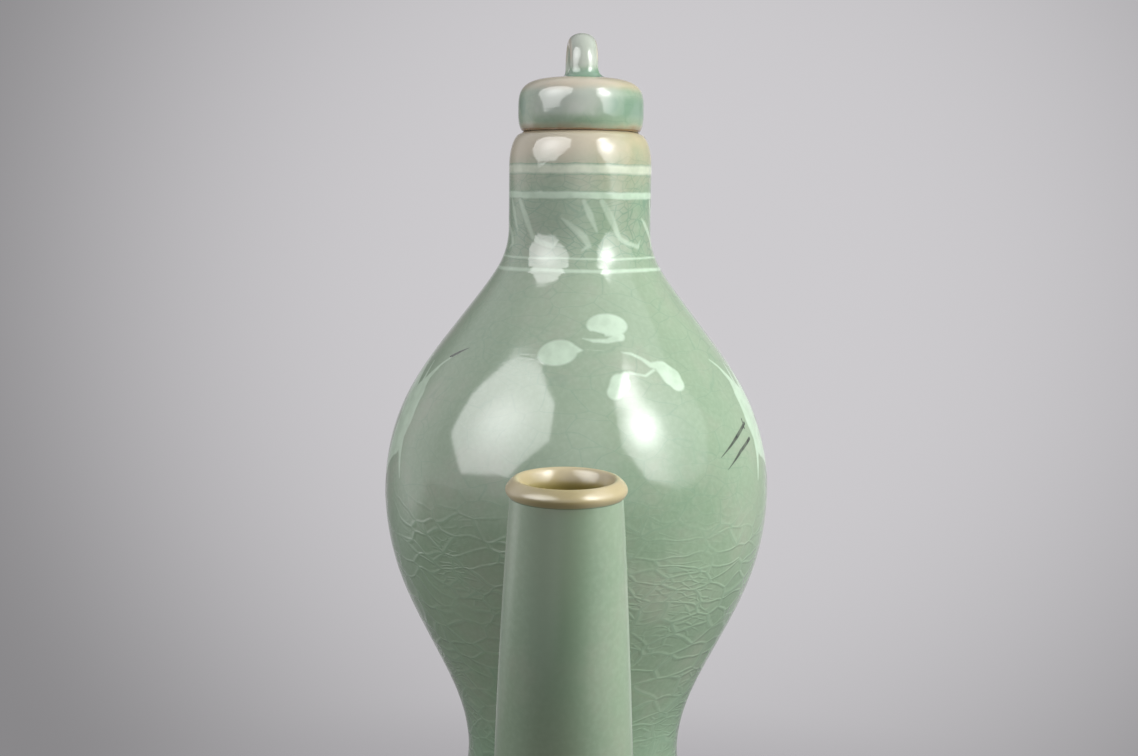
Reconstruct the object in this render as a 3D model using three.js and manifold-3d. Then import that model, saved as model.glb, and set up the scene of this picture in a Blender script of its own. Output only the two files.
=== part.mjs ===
// Double gourd ewer: celadon stoneware with white slip inlay, a tall spout, a strap handle and a lid.
// Millimetres, +Z up. The ewer's axis is Z and it stands on Z = 0, spout to -Y and handle to +Y.
import * as THREE from 'three';
import { mergeVertices } from 'three/addons/utils/BufferGeometryUtils.js';
import Module from 'manifold-3d';

// Clearances
const SEAT_GAP = 0.3; // between a piece and the curved wall it is luted to
const INLAY_GAP = 0.1; // between an inlay and its recess
const LID_PLAY = 0.6; // between the lid's flange and the mouth

// Foot ring
const FOOT_HEIGHT = 8;
const FOOT_RADIUS = 44;
const FOOT_WIDTH = 7;
const FOOT_SPLAY = 2;
const FOOT_CHAMFER = 1;

// Lower bulb, from the foot up to the waist
const WALL = 5;
const FLOOR = 6;
const BELLY_RADIUS = 72;
const BELLY_UNDER_ROUND = 65;
const BELLY_TOP_ROUND = 62;
const BELLY_ANGLE = 55; // of the straight slope, from upright, in degrees
const WAIST_RADIUS = 27.6;
const WAIST_UNDER_ROUND = 20;

// Upper bulb, from the waist up to the rim
const WAIST_TOP_ROUND = 50;
const BULB_UNDER_ANGLE = 26.5;
const BULB_UNDER_ROUND = 67.5;
const BULB_RADIUS = 50;
const BULB_TOP_ROUND = 55.2;
const BULB_ANGLE = 37.7;
const NECK_ROUND = 21;
const NECK_RADIUS = 18.2;
const NECK_HEIGHT = 24.4;
const LIP_HEIGHT = 8.4;
const LIP_WIDTH = 3.7;

// Inlaid rings: how far the middle lies below the rim, and the height
const INLAY_DEPTH = 0.8;
const NECK_BAND_UPPER = { name: 'neck_band_upper', below: 9.6, height: 2.9 };
const NECK_BAND_LOWER = { name: 'neck_band_lower', below: 16, height: 2.2 };
const SHOULDER_LINE_UPPER = { name: 'shoulder_line_upper', below: 31.4, height: 1 };
const SHOULDER_LINE_LOWER = { name: 'shoulder_line_lower', below: 34.3, height: 1.4 };
const RINGS = [NECK_BAND_UPPER, NECK_BAND_LOWER, SHOULDER_LINE_UPPER, SHOULDER_LINE_LOWER];

// Inlaid figures, in the plane that touches the bulb at their middle: x to the viewer's right, y up.
// A lobe is an oval with its half width and half height, a stroke is a row of points with half widths.
const FIGURE_UNIT = 1; // the length of one unit in these drawings
const CLOUD = {
  azimuth: 13,
  below: 53.3,
  lobes: [
    [0.7, 8.4, 5.4, 3.6],
    [-11.8, 1.8, 4.9, 3.9],
  ],
  strokes: [
    [[-5.4, 4.7, 0.6], [-2.8, 4.1, 0.9], [0.4, 3.9, 1.1], [3.2, 5.4, 1.6]],
    [[-9, 2.2, 2.4], [-5.9, 1.6, 0.5], [-1, 1.2, 0.5], [3.2, 0.9, 0.5], [0.8, 3.6, 0.5]],
    [[3.2, 0.9, 0.5], [5.6, 0.5, 0.7], [8.2, -0.8, 0.8], [10.2, -2.2, 1.1], [13.2, -2.4, 2.2]],
    [[13.2, -2.4, 2.2], [15.2, -4.6, 3], [16.4, -6.2, 2.4]],
    [[10.8, -3.2, 0.8], [8.4, -5.3, 0.7], [6.2, -5.1, 0.7], [4, -4.7, 0.9]],
    [[4, -4.7, 0.9], [1.9, -7.4, 2.8], [0.2, -10, 2.2]],
  ],
};
const CRANE = {
  azimuth: 79,
  below: 72.3,
  lobes: [],
  strokes: [
    [[-10.3, 19, 0.6], [-8, 16.5, 0.8], [-5.8, 12.5, 1.5], [-4.6, 7.5, 4.2]],
    [[-4.6, 7.5, 4.2], [-3.6, 1.5, 5.8], [-2.6, -4, 5.4], [1.5, -10, 2.4], [4, -15, 0.7]],
    [[-2, 16.5, 0.6], [-3, 12.5, 0.9], [-4, 8, 1.4]],
    [[0, 4, 4], [3, 11, 3], [5, 17, 1.6], [7, 21.5, 0.8]],
    [[-6, -4, 2.4], [-8.2, -8, 1.1], [-10.3, -13, 0.6]],
  ],
};
const CRANE_LEFT_AZIMUTH = -73;
const FIGURE_REACH = 14; // how deep a figure's cut goes behind the plane that touches the bulb

// Spout: its line runs in the X = 0 plane, from above the belly's widest level to above the upper bulb's
const SPOUT_REACH = 109;
const SPOUT_TOP_RISE = 23.3;
const SPOUT_ROOT_RISE = 32;
const SPOUT_ROOT_RADIUS = 18;
const SPOUT_TIP_RADIUS = 10.3;
const SPOUT_TAPER = 0.8;
const SPOUT_WALL = 2.6;
const SPOUT_LIP_LENGTH = 3.2;
const SPOUT_LIP_BULGE = 0.9;
const SPOUT_MOUTH_FLARE = 1.2;

// Handle: a strap from the upper bulb to the lower one
const HANDLE_REACH = 121.4;
const HANDLE_WIDTH = 17;
const HANDLE_THICKNESS = 11;
const HANDLE_TOP_RISE = 7.6;
const HANDLE_ROOT_RISE = 32;
const HANDLE_CREST = 22;
const HANDLE_BULGE_RISE = 12; // of its farthest point, above the middle of its two ends
const HANDLE_FOOT_DROP = 4;

// Cord loops on the handle and on the lid
const LOOP_WIDTH = 7;
const LOOP_THICKNESS = 4.8;
const LOOP_SPAN = 12;
const LOOP_LEG_DEPTH = 4;
const LID_LOOP_HEIGHT = 11.1;
const LID_LOOP_TURN = 7;
const HANDLE_LOOP_HEIGHT = 11;

// Lid
const LID_RADIUS = 16;
const LID_SEAT_RADIUS = 14.7;
const LID_UNDER_HEIGHT = 5.5;
const LID_TOP_HEIGHT = 8.1;
const LID_CUSHION = 3.6;
const LID_HOLLOW_HEIGHT = 7.5;
const FLANGE_WALL = 3.2;
const FLANGE_DEPTH = 9;

// Facets
const TURN_STEPS = 40;
const OUTER_STEP = 7;
const INNER_STEP = 14;
const TUBE_SIDES = 16;
const BAR_SIDES = 12;
const LOOP_SIDES = 10;
const SPOT_SIDES = 8;
const LOBE_SIDES = 16;

const glaze = { color: 0xa3bca5, roughness: 0.22, metalness: 0 };
const brownGlaze = { color: 0x9c9676, roughness: 0.35, metalness: 0 };
const bareClay = { color: 0xb08c6a, roughness: 0.85, metalness: 0 };
const whiteSlip = { color: 0xcfe3d2, roughness: 0.25, metalness: 0 };

const radians = THREE.MathUtils.degToRad;
const wasm = await Module();
wasm.setup();
const { Manifold, CrossSection } = wasm;

// One flank of a bulb: a round crest, a straight slope, then a hollow that ends upright at the narrow part.
function makeFlank(crest, crestRound, slopeDegrees, narrow, narrowRound) {
  const slope = radians(slopeDegrees);
  const drop = 1 - Math.cos(slope);
  const straight = crest - narrow - (crestRound + narrowRound) * drop;
  const height = (crestRound + narrowRound) * Math.sin(slope) + straight / Math.tan(slope);
  return { crest, crestRound, slope, narrow, narrowRound, height };
}

// A flank's radius at a distance above or below its crest, with the surface moved inwards by the inset.
function flankRadius(flank, fromCrest, inset) {
  const crestRound = flank.crestRound - inset;
  const narrowRound = flank.narrowRound + inset;
  const sine = Math.sin(flank.slope);
  const fromEnd = flank.height - fromCrest;
  if (fromCrest < crestRound * sine) {
    return flank.crest - flank.crestRound + Math.sqrt(crestRound ** 2 - fromCrest ** 2);
  }
  if (fromEnd < narrowRound * sine) {
    return flank.narrow + flank.narrowRound - Math.sqrt(narrowRound ** 2 - Math.max(fromEnd, 0) ** 2);
  }
  const lineStart = flank.crest - inset - crestRound * (1 - Math.cos(flank.slope));
  return lineStart - (fromCrest - crestRound * sine) * Math.tan(flank.slope);
}

const bellyTop = makeFlank(BELLY_RADIUS, BELLY_TOP_ROUND, BELLY_ANGLE, WAIST_RADIUS, WAIST_UNDER_ROUND);
const bulbUnder = makeFlank(BULB_RADIUS, BULB_UNDER_ROUND, BULB_UNDER_ANGLE, WAIST_RADIUS, WAIST_TOP_ROUND);
const bulbTop = makeFlank(BULB_RADIUS, BULB_TOP_ROUND, BULB_ANGLE, NECK_RADIUS, NECK_ROUND);

// Levels, each from the one below it
const seatRadius = FOOT_RADIUS + FOOT_SPLAY;
const underCentre = BELLY_RADIUS - BELLY_UNDER_ROUND;
const BELLY_LEVEL = FOOT_HEIGHT + Math.sqrt(BELLY_UNDER_ROUND ** 2 - (seatRadius - underCentre) ** 2);
const WAIST_LEVEL = BELLY_LEVEL + bellyTop.height;
const BULB_LEVEL = WAIST_LEVEL + bulbUnder.height;
const NECK_LEVEL = BULB_LEVEL + bulbTop.height;
const RIM_LEVEL = NECK_LEVEL + NECK_HEIGHT;
const LID_TOP_LEVEL = RIM_LEVEL + LID_UNDER_HEIGHT + LID_TOP_HEIGHT;
const SPOUT_ROOT_LEVEL = BELLY_LEVEL + SPOUT_ROOT_RISE;
const SPOUT_TOP = BULB_LEVEL + SPOUT_TOP_RISE;
const HANDLE_ROOT_LEVEL = BELLY_LEVEL + HANDLE_ROOT_RISE;
const HANDLE_TOP_LEVEL = BULB_LEVEL + HANDLE_TOP_RISE;
const MOUTH_RADIUS = NECK_RADIUS - WALL;

// The ewer's radius at a level between foot and rim, with the surface moved inwards by the inset.
function bodyRadius(level, inset = 0) {
  if (level < BELLY_LEVEL) {
    return underCentre + Math.sqrt((BELLY_UNDER_ROUND - inset) ** 2 - (BELLY_LEVEL - level) ** 2);
  }
  if (level < WAIST_LEVEL) return flankRadius(bellyTop, level - BELLY_LEVEL, inset);
  if (level < BULB_LEVEL) return flankRadius(bulbUnder, BULB_LEVEL - level, inset);
  if (level < NECK_LEVEL) return flankRadius(bulbTop, level - BULB_LEVEL, inset);
  const intoLip = Math.max(level - RIM_LEVEL + LIP_HEIGHT, 0) / LIP_HEIGHT;
  const lipTurn = inset >= WALL ? 0 : LIP_WIDTH * (1 - Math.sqrt(Math.max(1 - intoLip ** 2, 0)));
  return NECK_RADIUS - inset - lipTurn;
}

// Levels from one height to another, at about even steps.
function levelsBetween(from, to, step) {
  const count = Math.ceil(Math.abs(to - from) / step);
  return Array.from({ length: count + 1 }, (_, i) => from + ((to - from) * i) / count);
}

// Levels up the upper bulb: slope, neck and the quickly turning lip.
function upperLevels() {
  const lipStart = RIM_LEVEL - LIP_HEIGHT;
  const lip = [0.2, 0.5, 0.8, 0.95, 1].map((share) => lipStart + share * LIP_HEIGHT);
  const flankLevels = levelsBetween(WAIST_LEVEL, NECK_LEVEL, OUTER_STEP);
  const ringEdges = RINGS.flatMap((ring) => [ringLow(ring), ringHigh(ring)]);
  const clearOf = (ring, level) => Math.abs(RIM_LEVEL - ring.below - level) > ring.height;
  const plain = [...flankLevels, ...lip].filter((level) => RINGS.every((ring) => clearOf(ring, level)));
  return [...plain, ...ringEdges].sort((a, b) => a - b);
}

function ringLow(ring) {
  return RIM_LEVEL - ring.below - ring.height / 2;
}

function ringHigh(ring) {
  return RIM_LEVEL - ring.below + ring.height / 2;
}

const point = (radius, level) => new THREE.Vector2(radius, level);
const surface = (levels, inset) => levels.map((level) => point(bodyRadius(level, inset), level));
const closed = (outline) => [...outline, outline[0]];

// A solid of revolution about Z. The outline starts and ends on the axis, or closes on itself.
function turned(outline) {
  return new THREE.LatheGeometry(outline, TURN_STEPS).rotateX(Math.PI / 2);
}

function solidOf(geometry) {
  geometry.deleteAttribute('normal');
  geometry.deleteAttribute('uv');
  const merged = mergeVertices(geometry, 1e-4);
  const corners = merged.index.array;
  const triangles = [];
  for (let i = 0; i < corners.length; i += 3) {
    const [a, b, c] = corners.slice(i, i + 3);
    if (a !== b && b !== c && c !== a) triangles.push(a, b, c);
  }
  return new Manifold(
    new wasm.Mesh({
      numProp: 3,
      vertProperties: new Float32Array(merged.attributes.position.array),
      triVerts: new Uint32Array(triangles),
    }),
  );
}

function geometryOf(solid) {
  const mesh = solid.getMesh();
  const geometry = new THREE.BufferGeometry();
  geometry.setAttribute('position', new THREE.BufferAttribute(mesh.vertProperties, 3));
  geometry.setIndex(new THREE.BufferAttribute(mesh.triVerts, 1));
  geometry.computeVertexNormals();
  return geometry;
}

// The whole space inside the ewer's outer surface between two levels, grown outwards by the growth.
function fullBody(levels, growth) {
  const skin = levels.map((level) => point(bodyRadius(level) + growth, level));
  const bottom = point(0, levels[0]);
  const top = point(0, levels.at(-1));
  return solidOf(turned([bottom, ...skin, top]));
}

// A bar along a curve in the X = 0 plane, with an oval section that may change along the curve.
function bar(curve, stations, halfWidth, halfThickness, sides) {
  const across = new THREE.Vector3(1, 0, 0);
  const positions = [];
  const triangles = [];
  for (const t of stations) {
    const middle = curve.getPointAt(t);
    const outwards = new THREE.Vector3().crossVectors(across, curve.getTangentAt(t)).normalize();
    for (let k = 0; k < sides; k++) {
      const angle = (2 * Math.PI * k) / sides;
      const corner = middle.clone();
      corner.addScaledVector(across, halfWidth(t) * Math.cos(angle));
      corner.addScaledVector(outwards, halfThickness(t) * Math.sin(angle));
      positions.push(...corner.toArray());
    }
  }
  const last = (stations.length - 1) * sides;
  for (let ring = 0; ring < last; ring += sides) {
    for (let k = 0; k < sides; k++) {
      const next = (k + 1) % sides;
      triangles.push(ring + k, ring + sides + next, ring + next);
      triangles.push(ring + k, ring + sides + k, ring + sides + next);
    }
  }
  for (let k = 1; k < sides - 1; k++) {
    triangles.push(0, k, k + 1);
    triangles.push(last, last + k + 1, last + k);
  }
  const geometry = new THREE.BufferGeometry();
  geometry.setAttribute('position', new THREE.Float32BufferAttribute(positions, 3));
  geometry.setIndex(triangles);
  return geometry;
}

const evenly = (count) => Array.from({ length: count + 1 }, (_, i) => i / count);

// Inlays
function figureOutline(figure) {
  const spot = ([x, y, r]) => CrossSection.circle(r, SPOT_SIDES).translate([x, y]);
  const disc = CrossSection.circle(1, LOBE_SIDES);
  const oval = ([x, y, wide, tall]) => disc.scale([wide, tall]).translate([x, y]);
  const strokes = figure.strokes.flatMap((stroke) =>
    stroke.slice(1).map((end, i) => CrossSection.hull([spot(stroke[i]), spot(end)])),
  );
  return CrossSection.union([...figure.lobes.map(oval), ...strokes]).scale([FIGURE_UNIT, FIGURE_UNIT]);
}

// A prism with a figure's outline, standing through the bulb's wall at the figure's place.
function figurePrism(outline, azimuthDegrees, level) {
  const azimuth = radians(azimuthDegrees);
  const lean = Math.atan2(bodyRadius(level - 1) - bodyRadius(level + 1), 2);
  const radial = new THREE.Vector3(Math.sin(azimuth), -Math.cos(azimuth), 0);
  const right = new THREE.Vector3(Math.cos(azimuth), Math.sin(azimuth), 0);
  const up = new THREE.Vector3(0, 0, 1);
  const normal = radial.clone().multiplyScalar(Math.cos(lean)).addScaledVector(up, Math.sin(lean));
  const upSlope = new THREE.Vector3().crossVectors(normal, right);
  const seat = radial.multiplyScalar(bodyRadius(level)).addScaledVector(up, level);
  seat.addScaledVector(normal, -FIGURE_REACH);
  const place = new THREE.Matrix4().makeBasis(right, upSlope, normal).setPosition(seat);
  return outline.extrude(2 * FIGURE_REACH).transform(place.elements);
}

function mirrored(figure) {
  const strokes = figure.strokes.map((stroke) => stroke.map(([x, y, r]) => [-x, y, r]));
  return { ...figure, strokes };
}

const FIGURES = [
  { name: 'cloud_inlay', ...CLOUD },
  { name: 'crane_inlay_right', ...CRANE },
  { name: 'crane_inlay_left', ...mirrored(CRANE), azimuth: CRANE_LEFT_AZIMUTH },
];

function makeFigures() {
  const levels = levelsBetween(WAIST_LEVEL, NECK_LEVEL, OUTER_STEP);
  const skin = fullBody(levels, 0);
  const inlayBed = fullBody(levels, -INLAY_DEPTH);
  const recessBed = fullBody(levels, -INLAY_DEPTH - INLAY_GAP);
  return FIGURES.map((figure) => {
    const level = RIM_LEVEL - figure.below;
    const outline = figureOutline(figure);
    const plug = figurePrism(outline, figure.azimuth, level);
    const cut = figurePrism(outline.offset(INLAY_GAP, 'Round'), figure.azimuth, level);
    return {
      name: figure.name,
      inlay: plug.intersect(skin).subtract(inlayBed),
      recess: cut.subtract(recessBed),
    };
  });
}

function inlaidRing(ring) {
  const low = ringLow(ring) + INLAY_GAP;
  const high = ringHigh(ring) - INLAY_GAP;
  return turned(closed([
    point(bodyRadius(low) - INLAY_DEPTH, low),
    point(bodyRadius(low), low),
    point(bodyRadius(high), high),
    point(bodyRadius(high) - INLAY_DEPTH, high),
  ]));
}

// Spout
function spoutLine() {
  const root = bodyRadius(SPOUT_ROOT_LEVEL);
  const stem = SPOUT_REACH - root;
  const rise = SPOUT_TOP - SPOUT_ROOT_LEVEL;
  return new THREE.CatmullRomCurve3([
    new THREE.Vector3(0, -root + 0.45 * stem, SPOUT_ROOT_LEVEL - 0.12 * rise),
    new THREE.Vector3(0, -root, SPOUT_ROOT_LEVEL),
    new THREE.Vector3(0, -root - 0.58 * stem, SPOUT_ROOT_LEVEL + 0.3 * rise),
    new THREE.Vector3(0, -root - 0.97 * stem, SPOUT_ROOT_LEVEL + 0.66 * rise),
    new THREE.Vector3(0, -SPOUT_REACH, SPOUT_TOP),
  ]);
}

function spoutTaper(t) {
  return SPOUT_TIP_RADIUS + (SPOUT_ROOT_RADIUS - SPOUT_TIP_RADIUS) * (1 - t) ** SPOUT_TAPER;
}

function makeSpout() {
  const line = spoutLine();
  const length = line.getLength();
  const lipShares = [1, 0.75, 0.5, 0.25, 0.1, 0];
  const lipStations = lipShares.map((share) => 1 - (share * SPOUT_LIP_LENGTH) / length);
  const stations = [...evenly(14).slice(0, -1).filter((t) => t < lipStations[0] - 0.01), ...lipStations];
  const fromTip = (t) => Math.min(((1 - t) * length) / SPOUT_LIP_LENGTH, 1);
  const outer = (t) => spoutTaper(t) + SPOUT_LIP_BULGE * Math.sin(Math.PI * fromTip(t));
  const bore = (t) => spoutTaper(t) - SPOUT_WALL + SPOUT_MOUTH_FLARE * (1 - fromTip(t)) ** 2;
  const ahead = line.getTangentAt(1);
  const tip = line.getPointAt(1);
  const inside = tip.clone().addScaledVector(ahead, -SEAT_GAP);
  const wayOut = new THREE.LineCurve3(inside, tip.clone().add(ahead));
  const mouthRadius = () => bore(1);
  const mouth = solidOf(bar(wayOut, [0, 1], mouthRadius, mouthRadius, TUBE_SIDES));
  return {
    stem: solidOf(bar(line, stations, outer, outer, TUBE_SIDES)),
    bore: solidOf(bar(line, stations, bore, bore, TUBE_SIDES)).add(mouth),
  };
}

// Handle
function handleLine() {
  const top = bodyRadius(HANDLE_TOP_LEVEL) - WALL;
  const foot = bodyRadius(HANDLE_ROOT_LEVEL) - WALL;
  const reach = HANDLE_REACH - HANDLE_THICKNESS / 2;
  const crest = HANDLE_TOP_LEVEL + HANDLE_CREST - HANDLE_THICKNESS / 2;
  const middle = (HANDLE_TOP_LEVEL + HANDLE_ROOT_LEVEL) / 2;
  return new THREE.CatmullRomCurve3([
    new THREE.Vector3(0, top, HANDLE_TOP_LEVEL),
    new THREE.Vector3(0, 0.62 * top + 0.38 * reach, crest),
    new THREE.Vector3(0, 0.18 * top + 0.82 * reach, 0.78 * crest + 0.22 * middle),
    new THREE.Vector3(0, reach, middle + HANDLE_BULGE_RISE),
    new THREE.Vector3(0, 0.3 * foot + 0.7 * reach, 0.35 * middle + 0.65 * HANDLE_ROOT_LEVEL),
    new THREE.Vector3(0, foot, HANDLE_ROOT_LEVEL - HANDLE_FOOT_DROP),
  ]);
}

function makeHandle(line) {
  const flare = (t) => 1 + 0.35 * Math.max(1 - 8 * t, 8 * t - 7, 0);
  const halfWidth = (t) => (HANDLE_WIDTH / 2) * flare(t);
  const halfThickness = (t) => (HANDLE_THICKNESS / 2) * flare(t);
  return solidOf(bar(line, evenly(22), halfWidth, halfThickness, BAR_SIDES));
}

// A loop of strap that arches over a hole: two legs along Y joined by a half circle.
function cordLoop(height) {
  const radius = LOOP_SPAN / 2;
  const spring = height - LOOP_THICKNESS / 2 - radius;
  const at = (y, z) => new THREE.Vector3(0, y, z);
  const arch = new THREE.EllipseCurve(0, spring, radius, radius, 0, Math.PI, false);
  const archPoints = arch.getPoints(10).map(({ x, y }) => at(x, y));
  const route = [at(radius, -LOOP_LEG_DEPTH), ...archPoints, at(-radius, -LOOP_LEG_DEPTH)];
  const smooth = new THREE.CatmullRomCurve3(route, false, 'centripetal');
  const halfWidth = () => LOOP_WIDTH / 2;
  const halfThickness = () => LOOP_THICKNESS / 2;
  return solidOf(bar(smooth, evenly(14), halfWidth, halfThickness, LOOP_SIDES));
}

// Lid
function lidRadius(level) {
  const above = level - RIM_LEVEL - LID_UNDER_HEIGHT;
  if (above < 0) {
    const under = above / LID_UNDER_HEIGHT;
    return LID_SEAT_RADIUS + (LID_RADIUS - LID_SEAT_RADIUS) * Math.sqrt(Math.max(1 - under ** 2, 0));
  }
  const share = Math.min(above / LID_TOP_HEIGHT, 1);
  return LID_RADIUS * (1 - share ** LID_CUSHION) ** (1 / LID_CUSHION);
}

const flangeOuter = MOUTH_RADIUS - LID_PLAY;
const flangeInner = flangeOuter - FLANGE_WALL;

function lidSkin() {
  const widest = RIM_LEVEL + LID_UNDER_HEIGHT;
  const under = [0, 0.08, 0.3, 0.6, 1].map((share) => RIM_LEVEL + share * LID_UNDER_HEIGHT);
  const top = [0.3, 0.55, 0.75, 0.88, 0.96, 0.99].map((share) => widest + share * LID_TOP_HEIGHT);
  return [...under, ...top].map((level) => point(lidRadius(level), level));
}

function makeLidCap() {
  const ceiling = RIM_LEVEL + LID_HOLLOW_HEIGHT;
  const hollow = [point(0, ceiling), point(flangeInner, ceiling), point(flangeInner, RIM_LEVEL)];
  return turned([...hollow, ...lidSkin(), point(0, LID_TOP_LEVEL)]);
}

function makeLidFlange() {
  const low = RIM_LEVEL - FLANGE_DEPTH;
  return turned(closed([
    point(flangeInner, low),
    point(flangeOuter, low),
    point(flangeOuter, RIM_LEVEL),
    point(flangeInner, RIM_LEVEL),
  ]));
}

function makeLidLoop() {
  const grown = lidSkin().map(({ x, y }) => point(x + SEAT_GAP, y + SEAT_GAP));
  const cap = solidOf(turned([point(0, RIM_LEVEL), ...grown, point(0, LID_TOP_LEVEL + SEAT_GAP)]));
  const loop = cordLoop(LID_LOOP_HEIGHT).rotate([0, 0, LID_LOOP_TURN]).translate([0, 0, LID_TOP_LEVEL]);
  return loop.subtract(cap);
}

// Shells
function makeFootRing() {
  const inner = FOOT_RADIUS - FOOT_WIDTH;
  return turned(closed([
    point(inner, 0),
    point(FOOT_RADIUS, 0),
    point(FOOT_RADIUS + FOOT_CHAMFER, FOOT_CHAMFER),
    point(seatRadius, FOOT_HEIGHT),
    point(inner - FOOT_SPLAY / 2, FOOT_HEIGHT),
  ]));
}

function makeLowerBulb() {
  const floorLevel = FOOT_HEIGHT + FLOOR;
  const outside = surface(levelsBetween(FOOT_HEIGHT, WAIST_LEVEL, OUTER_STEP), 0);
  const inside = surface(levelsBetween(WAIST_LEVEL, floorLevel, INNER_STEP), WALL);
  return solidOf(turned([point(0, FOOT_HEIGHT), ...outside, ...inside, point(0, floorLevel)]));
}

function makeUpperBulb() {
  const outside = [];
  for (const level of upperLevels()) {
    const radius = bodyRadius(level);
    const startsRing = RINGS.some((ring) => ringLow(ring) === level);
    const endsRing = RINGS.some((ring) => ringHigh(ring) === level);
    const bed = point(radius - INLAY_DEPTH - INLAY_GAP, level);
    if (endsRing) outside.push(bed);
    outside.push(point(radius, level));
    if (startsRing) outside.push(bed);
  }
  const mouth = [point(MOUTH_RADIUS, RIM_LEVEL)];
  const inside = surface(levelsBetween(NECK_LEVEL, WAIST_LEVEL, INNER_STEP), WALL);
  return solidOf(turned(closed([...outside, ...mouth, ...inside])));
}

const ewer = new THREE.Group();

function add(name, geometry, finish, parent = ewer) {
  const mesh = new THREE.Mesh(geometry, new THREE.MeshStandardMaterial(finish));
  mesh.name = name;
  parent.add(mesh);
}

const figures = makeFigures();
const spout = makeSpout();
const lineOfHandle = handleLine();
const handleBar = makeHandle(lineOfHandle);
const lowerSpace = fullBody(levelsBetween(FOOT_HEIGHT, WAIST_LEVEL, OUTER_STEP), SEAT_GAP);
const upperSpace = fullBody(levelsBetween(WAIST_LEVEL, NECK_LEVEL, OUTER_STEP), SEAT_GAP);

const recesses = Manifold.union(figures.map(({ recess }) => recess));
add('foot_ring', makeFootRing(), bareClay);
add('lower_bulb', geometryOf(makeLowerBulb().subtract(spout.bore)), glaze);
add('upper_bulb', geometryOf(makeUpperBulb().subtract(recesses)), glaze);
for (const ring of RINGS) add(ring.name, inlaidRing(ring), whiteSlip);
for (const { name, inlay } of figures) add(name, geometryOf(inlay), whiteSlip);
add('spout', geometryOf(spout.stem.subtract(spout.bore).subtract(lowerSpace)), glaze);
const handle = handleBar.subtract(lowerSpace).subtract(upperSpace);
add('handle', geometryOf(handle), glaze);

const crown = lineOfHandle.getPoints(200).reduce((best, p) => (p.z > best.z ? p : best));
const crownTop = crown.z + HANDLE_THICKNESS / 2;
const handleLoop = cordLoop(HANDLE_LOOP_HEIGHT).translate([0, crown.y, crownTop]);
add('handle_loop', geometryOf(handleLoop.subtract(handleBar)), glaze);

const lid = new THREE.Group();
ewer.add(lid);
add('lid_cap', makeLidCap(), glaze, lid);
add('lid_flange', makeLidFlange(), bareClay, lid);
add('lid_loop', geometryOf(makeLidLoop()), brownGlaze, lid);

console.log('waist', WAIST_LEVEL, 'widest bulb', BULB_LEVEL, 'rim', RIM_LEVEL);

export default ewer;
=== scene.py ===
# %% [markdown]
# # Double gourd ewer
# A stoneware ewer with a crackled grey-green celadon glaze and white slip inlay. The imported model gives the
# frame: where each piece is and what it moves with. This script gives the looks. Every piece is made again
# from the same formulas as the solids, but with fine smooth meshes, so that the glaze shows no facets.

# %% Load the frame
import math
from functools import partialmethod, reduce

import bpy
import numpy as np
from mathutils import Matrix, Vector


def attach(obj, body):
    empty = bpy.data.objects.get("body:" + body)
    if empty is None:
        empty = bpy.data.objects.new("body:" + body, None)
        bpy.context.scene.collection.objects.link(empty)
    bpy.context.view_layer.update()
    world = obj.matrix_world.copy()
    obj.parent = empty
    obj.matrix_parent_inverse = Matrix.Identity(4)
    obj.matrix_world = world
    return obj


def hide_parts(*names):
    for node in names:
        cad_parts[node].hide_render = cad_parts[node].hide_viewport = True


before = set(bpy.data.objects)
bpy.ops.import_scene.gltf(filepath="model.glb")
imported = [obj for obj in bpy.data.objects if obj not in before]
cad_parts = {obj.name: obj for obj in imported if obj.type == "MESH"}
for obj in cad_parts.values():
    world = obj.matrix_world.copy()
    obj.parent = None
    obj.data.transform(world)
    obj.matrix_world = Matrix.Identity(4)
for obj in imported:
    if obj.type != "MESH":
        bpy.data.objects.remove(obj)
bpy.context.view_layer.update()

# %% [markdown]
# ## The potter's sizes
# A thrown gourd is a stack of round swellings. Each flank is a round crest, a straight slope and a hollow,
# and three numbers fix it. Sizes are in millimetres here, as on the potter's drawing, and become metres when
# a mesh is made.

# %% Sizes
MM = 0.001
FOOT_HEIGHT, FOOT_RADIUS, FOOT_WIDTH, FOOT_SPLAY = 8, 44, 7, 2
WALL, FLOOR = 5, 6
BELLY_RADIUS, BELLY_UNDER_ROUND = 72, 65
BULB_RADIUS, WAIST_RADIUS = 50, 27.6
NECK_RADIUS, NECK_HEIGHT, LIP_HEIGHT, LIP_WIDTH = 18.2, 24.4, 8.4, 3.7
EASING, EASING_STEPS = 8, 15


def flank(crest, crest_round, angle, narrow, narrow_round):
    """A flank's sizes and its height: crest radius and rounding, slope angle, narrow radius and rounding."""
    slope = math.radians(angle)
    rounds = crest_round + narrow_round
    straight = crest - narrow - rounds * (1 - math.cos(slope))
    height = rounds * math.sin(slope) + straight / math.tan(slope)
    return crest, crest_round, slope, narrow, narrow_round, height


BELLY_TOP = flank(BELLY_RADIUS, 62, 55, WAIST_RADIUS, 20)
BULB_UNDER = flank(BULB_RADIUS, 67.5, 26.5, WAIST_RADIUS, 50)
BULB_TOP = flank(BULB_RADIUS, 55.2, 37.7, NECK_RADIUS, 21)
UNDER_CENTRE = BELLY_RADIUS - BELLY_UNDER_ROUND
BELLY = FOOT_HEIGHT + math.sqrt(BELLY_UNDER_ROUND**2 - (FOOT_RADIUS + FOOT_SPLAY - UNDER_CENTRE) ** 2)
WAIST = BELLY + BELLY_TOP[-1]
BULB = WAIST + BULB_UNDER[-1]
NECK = BULB + BULB_TOP[-1]
RIM = NECK + NECK_HEIGHT
print(f"levels: belly {BELLY:.1f}, waist {WAIST:.1f}, bulb {BULB:.1f}, neck {NECK:.1f}, rim {RIM:.1f}")


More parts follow.
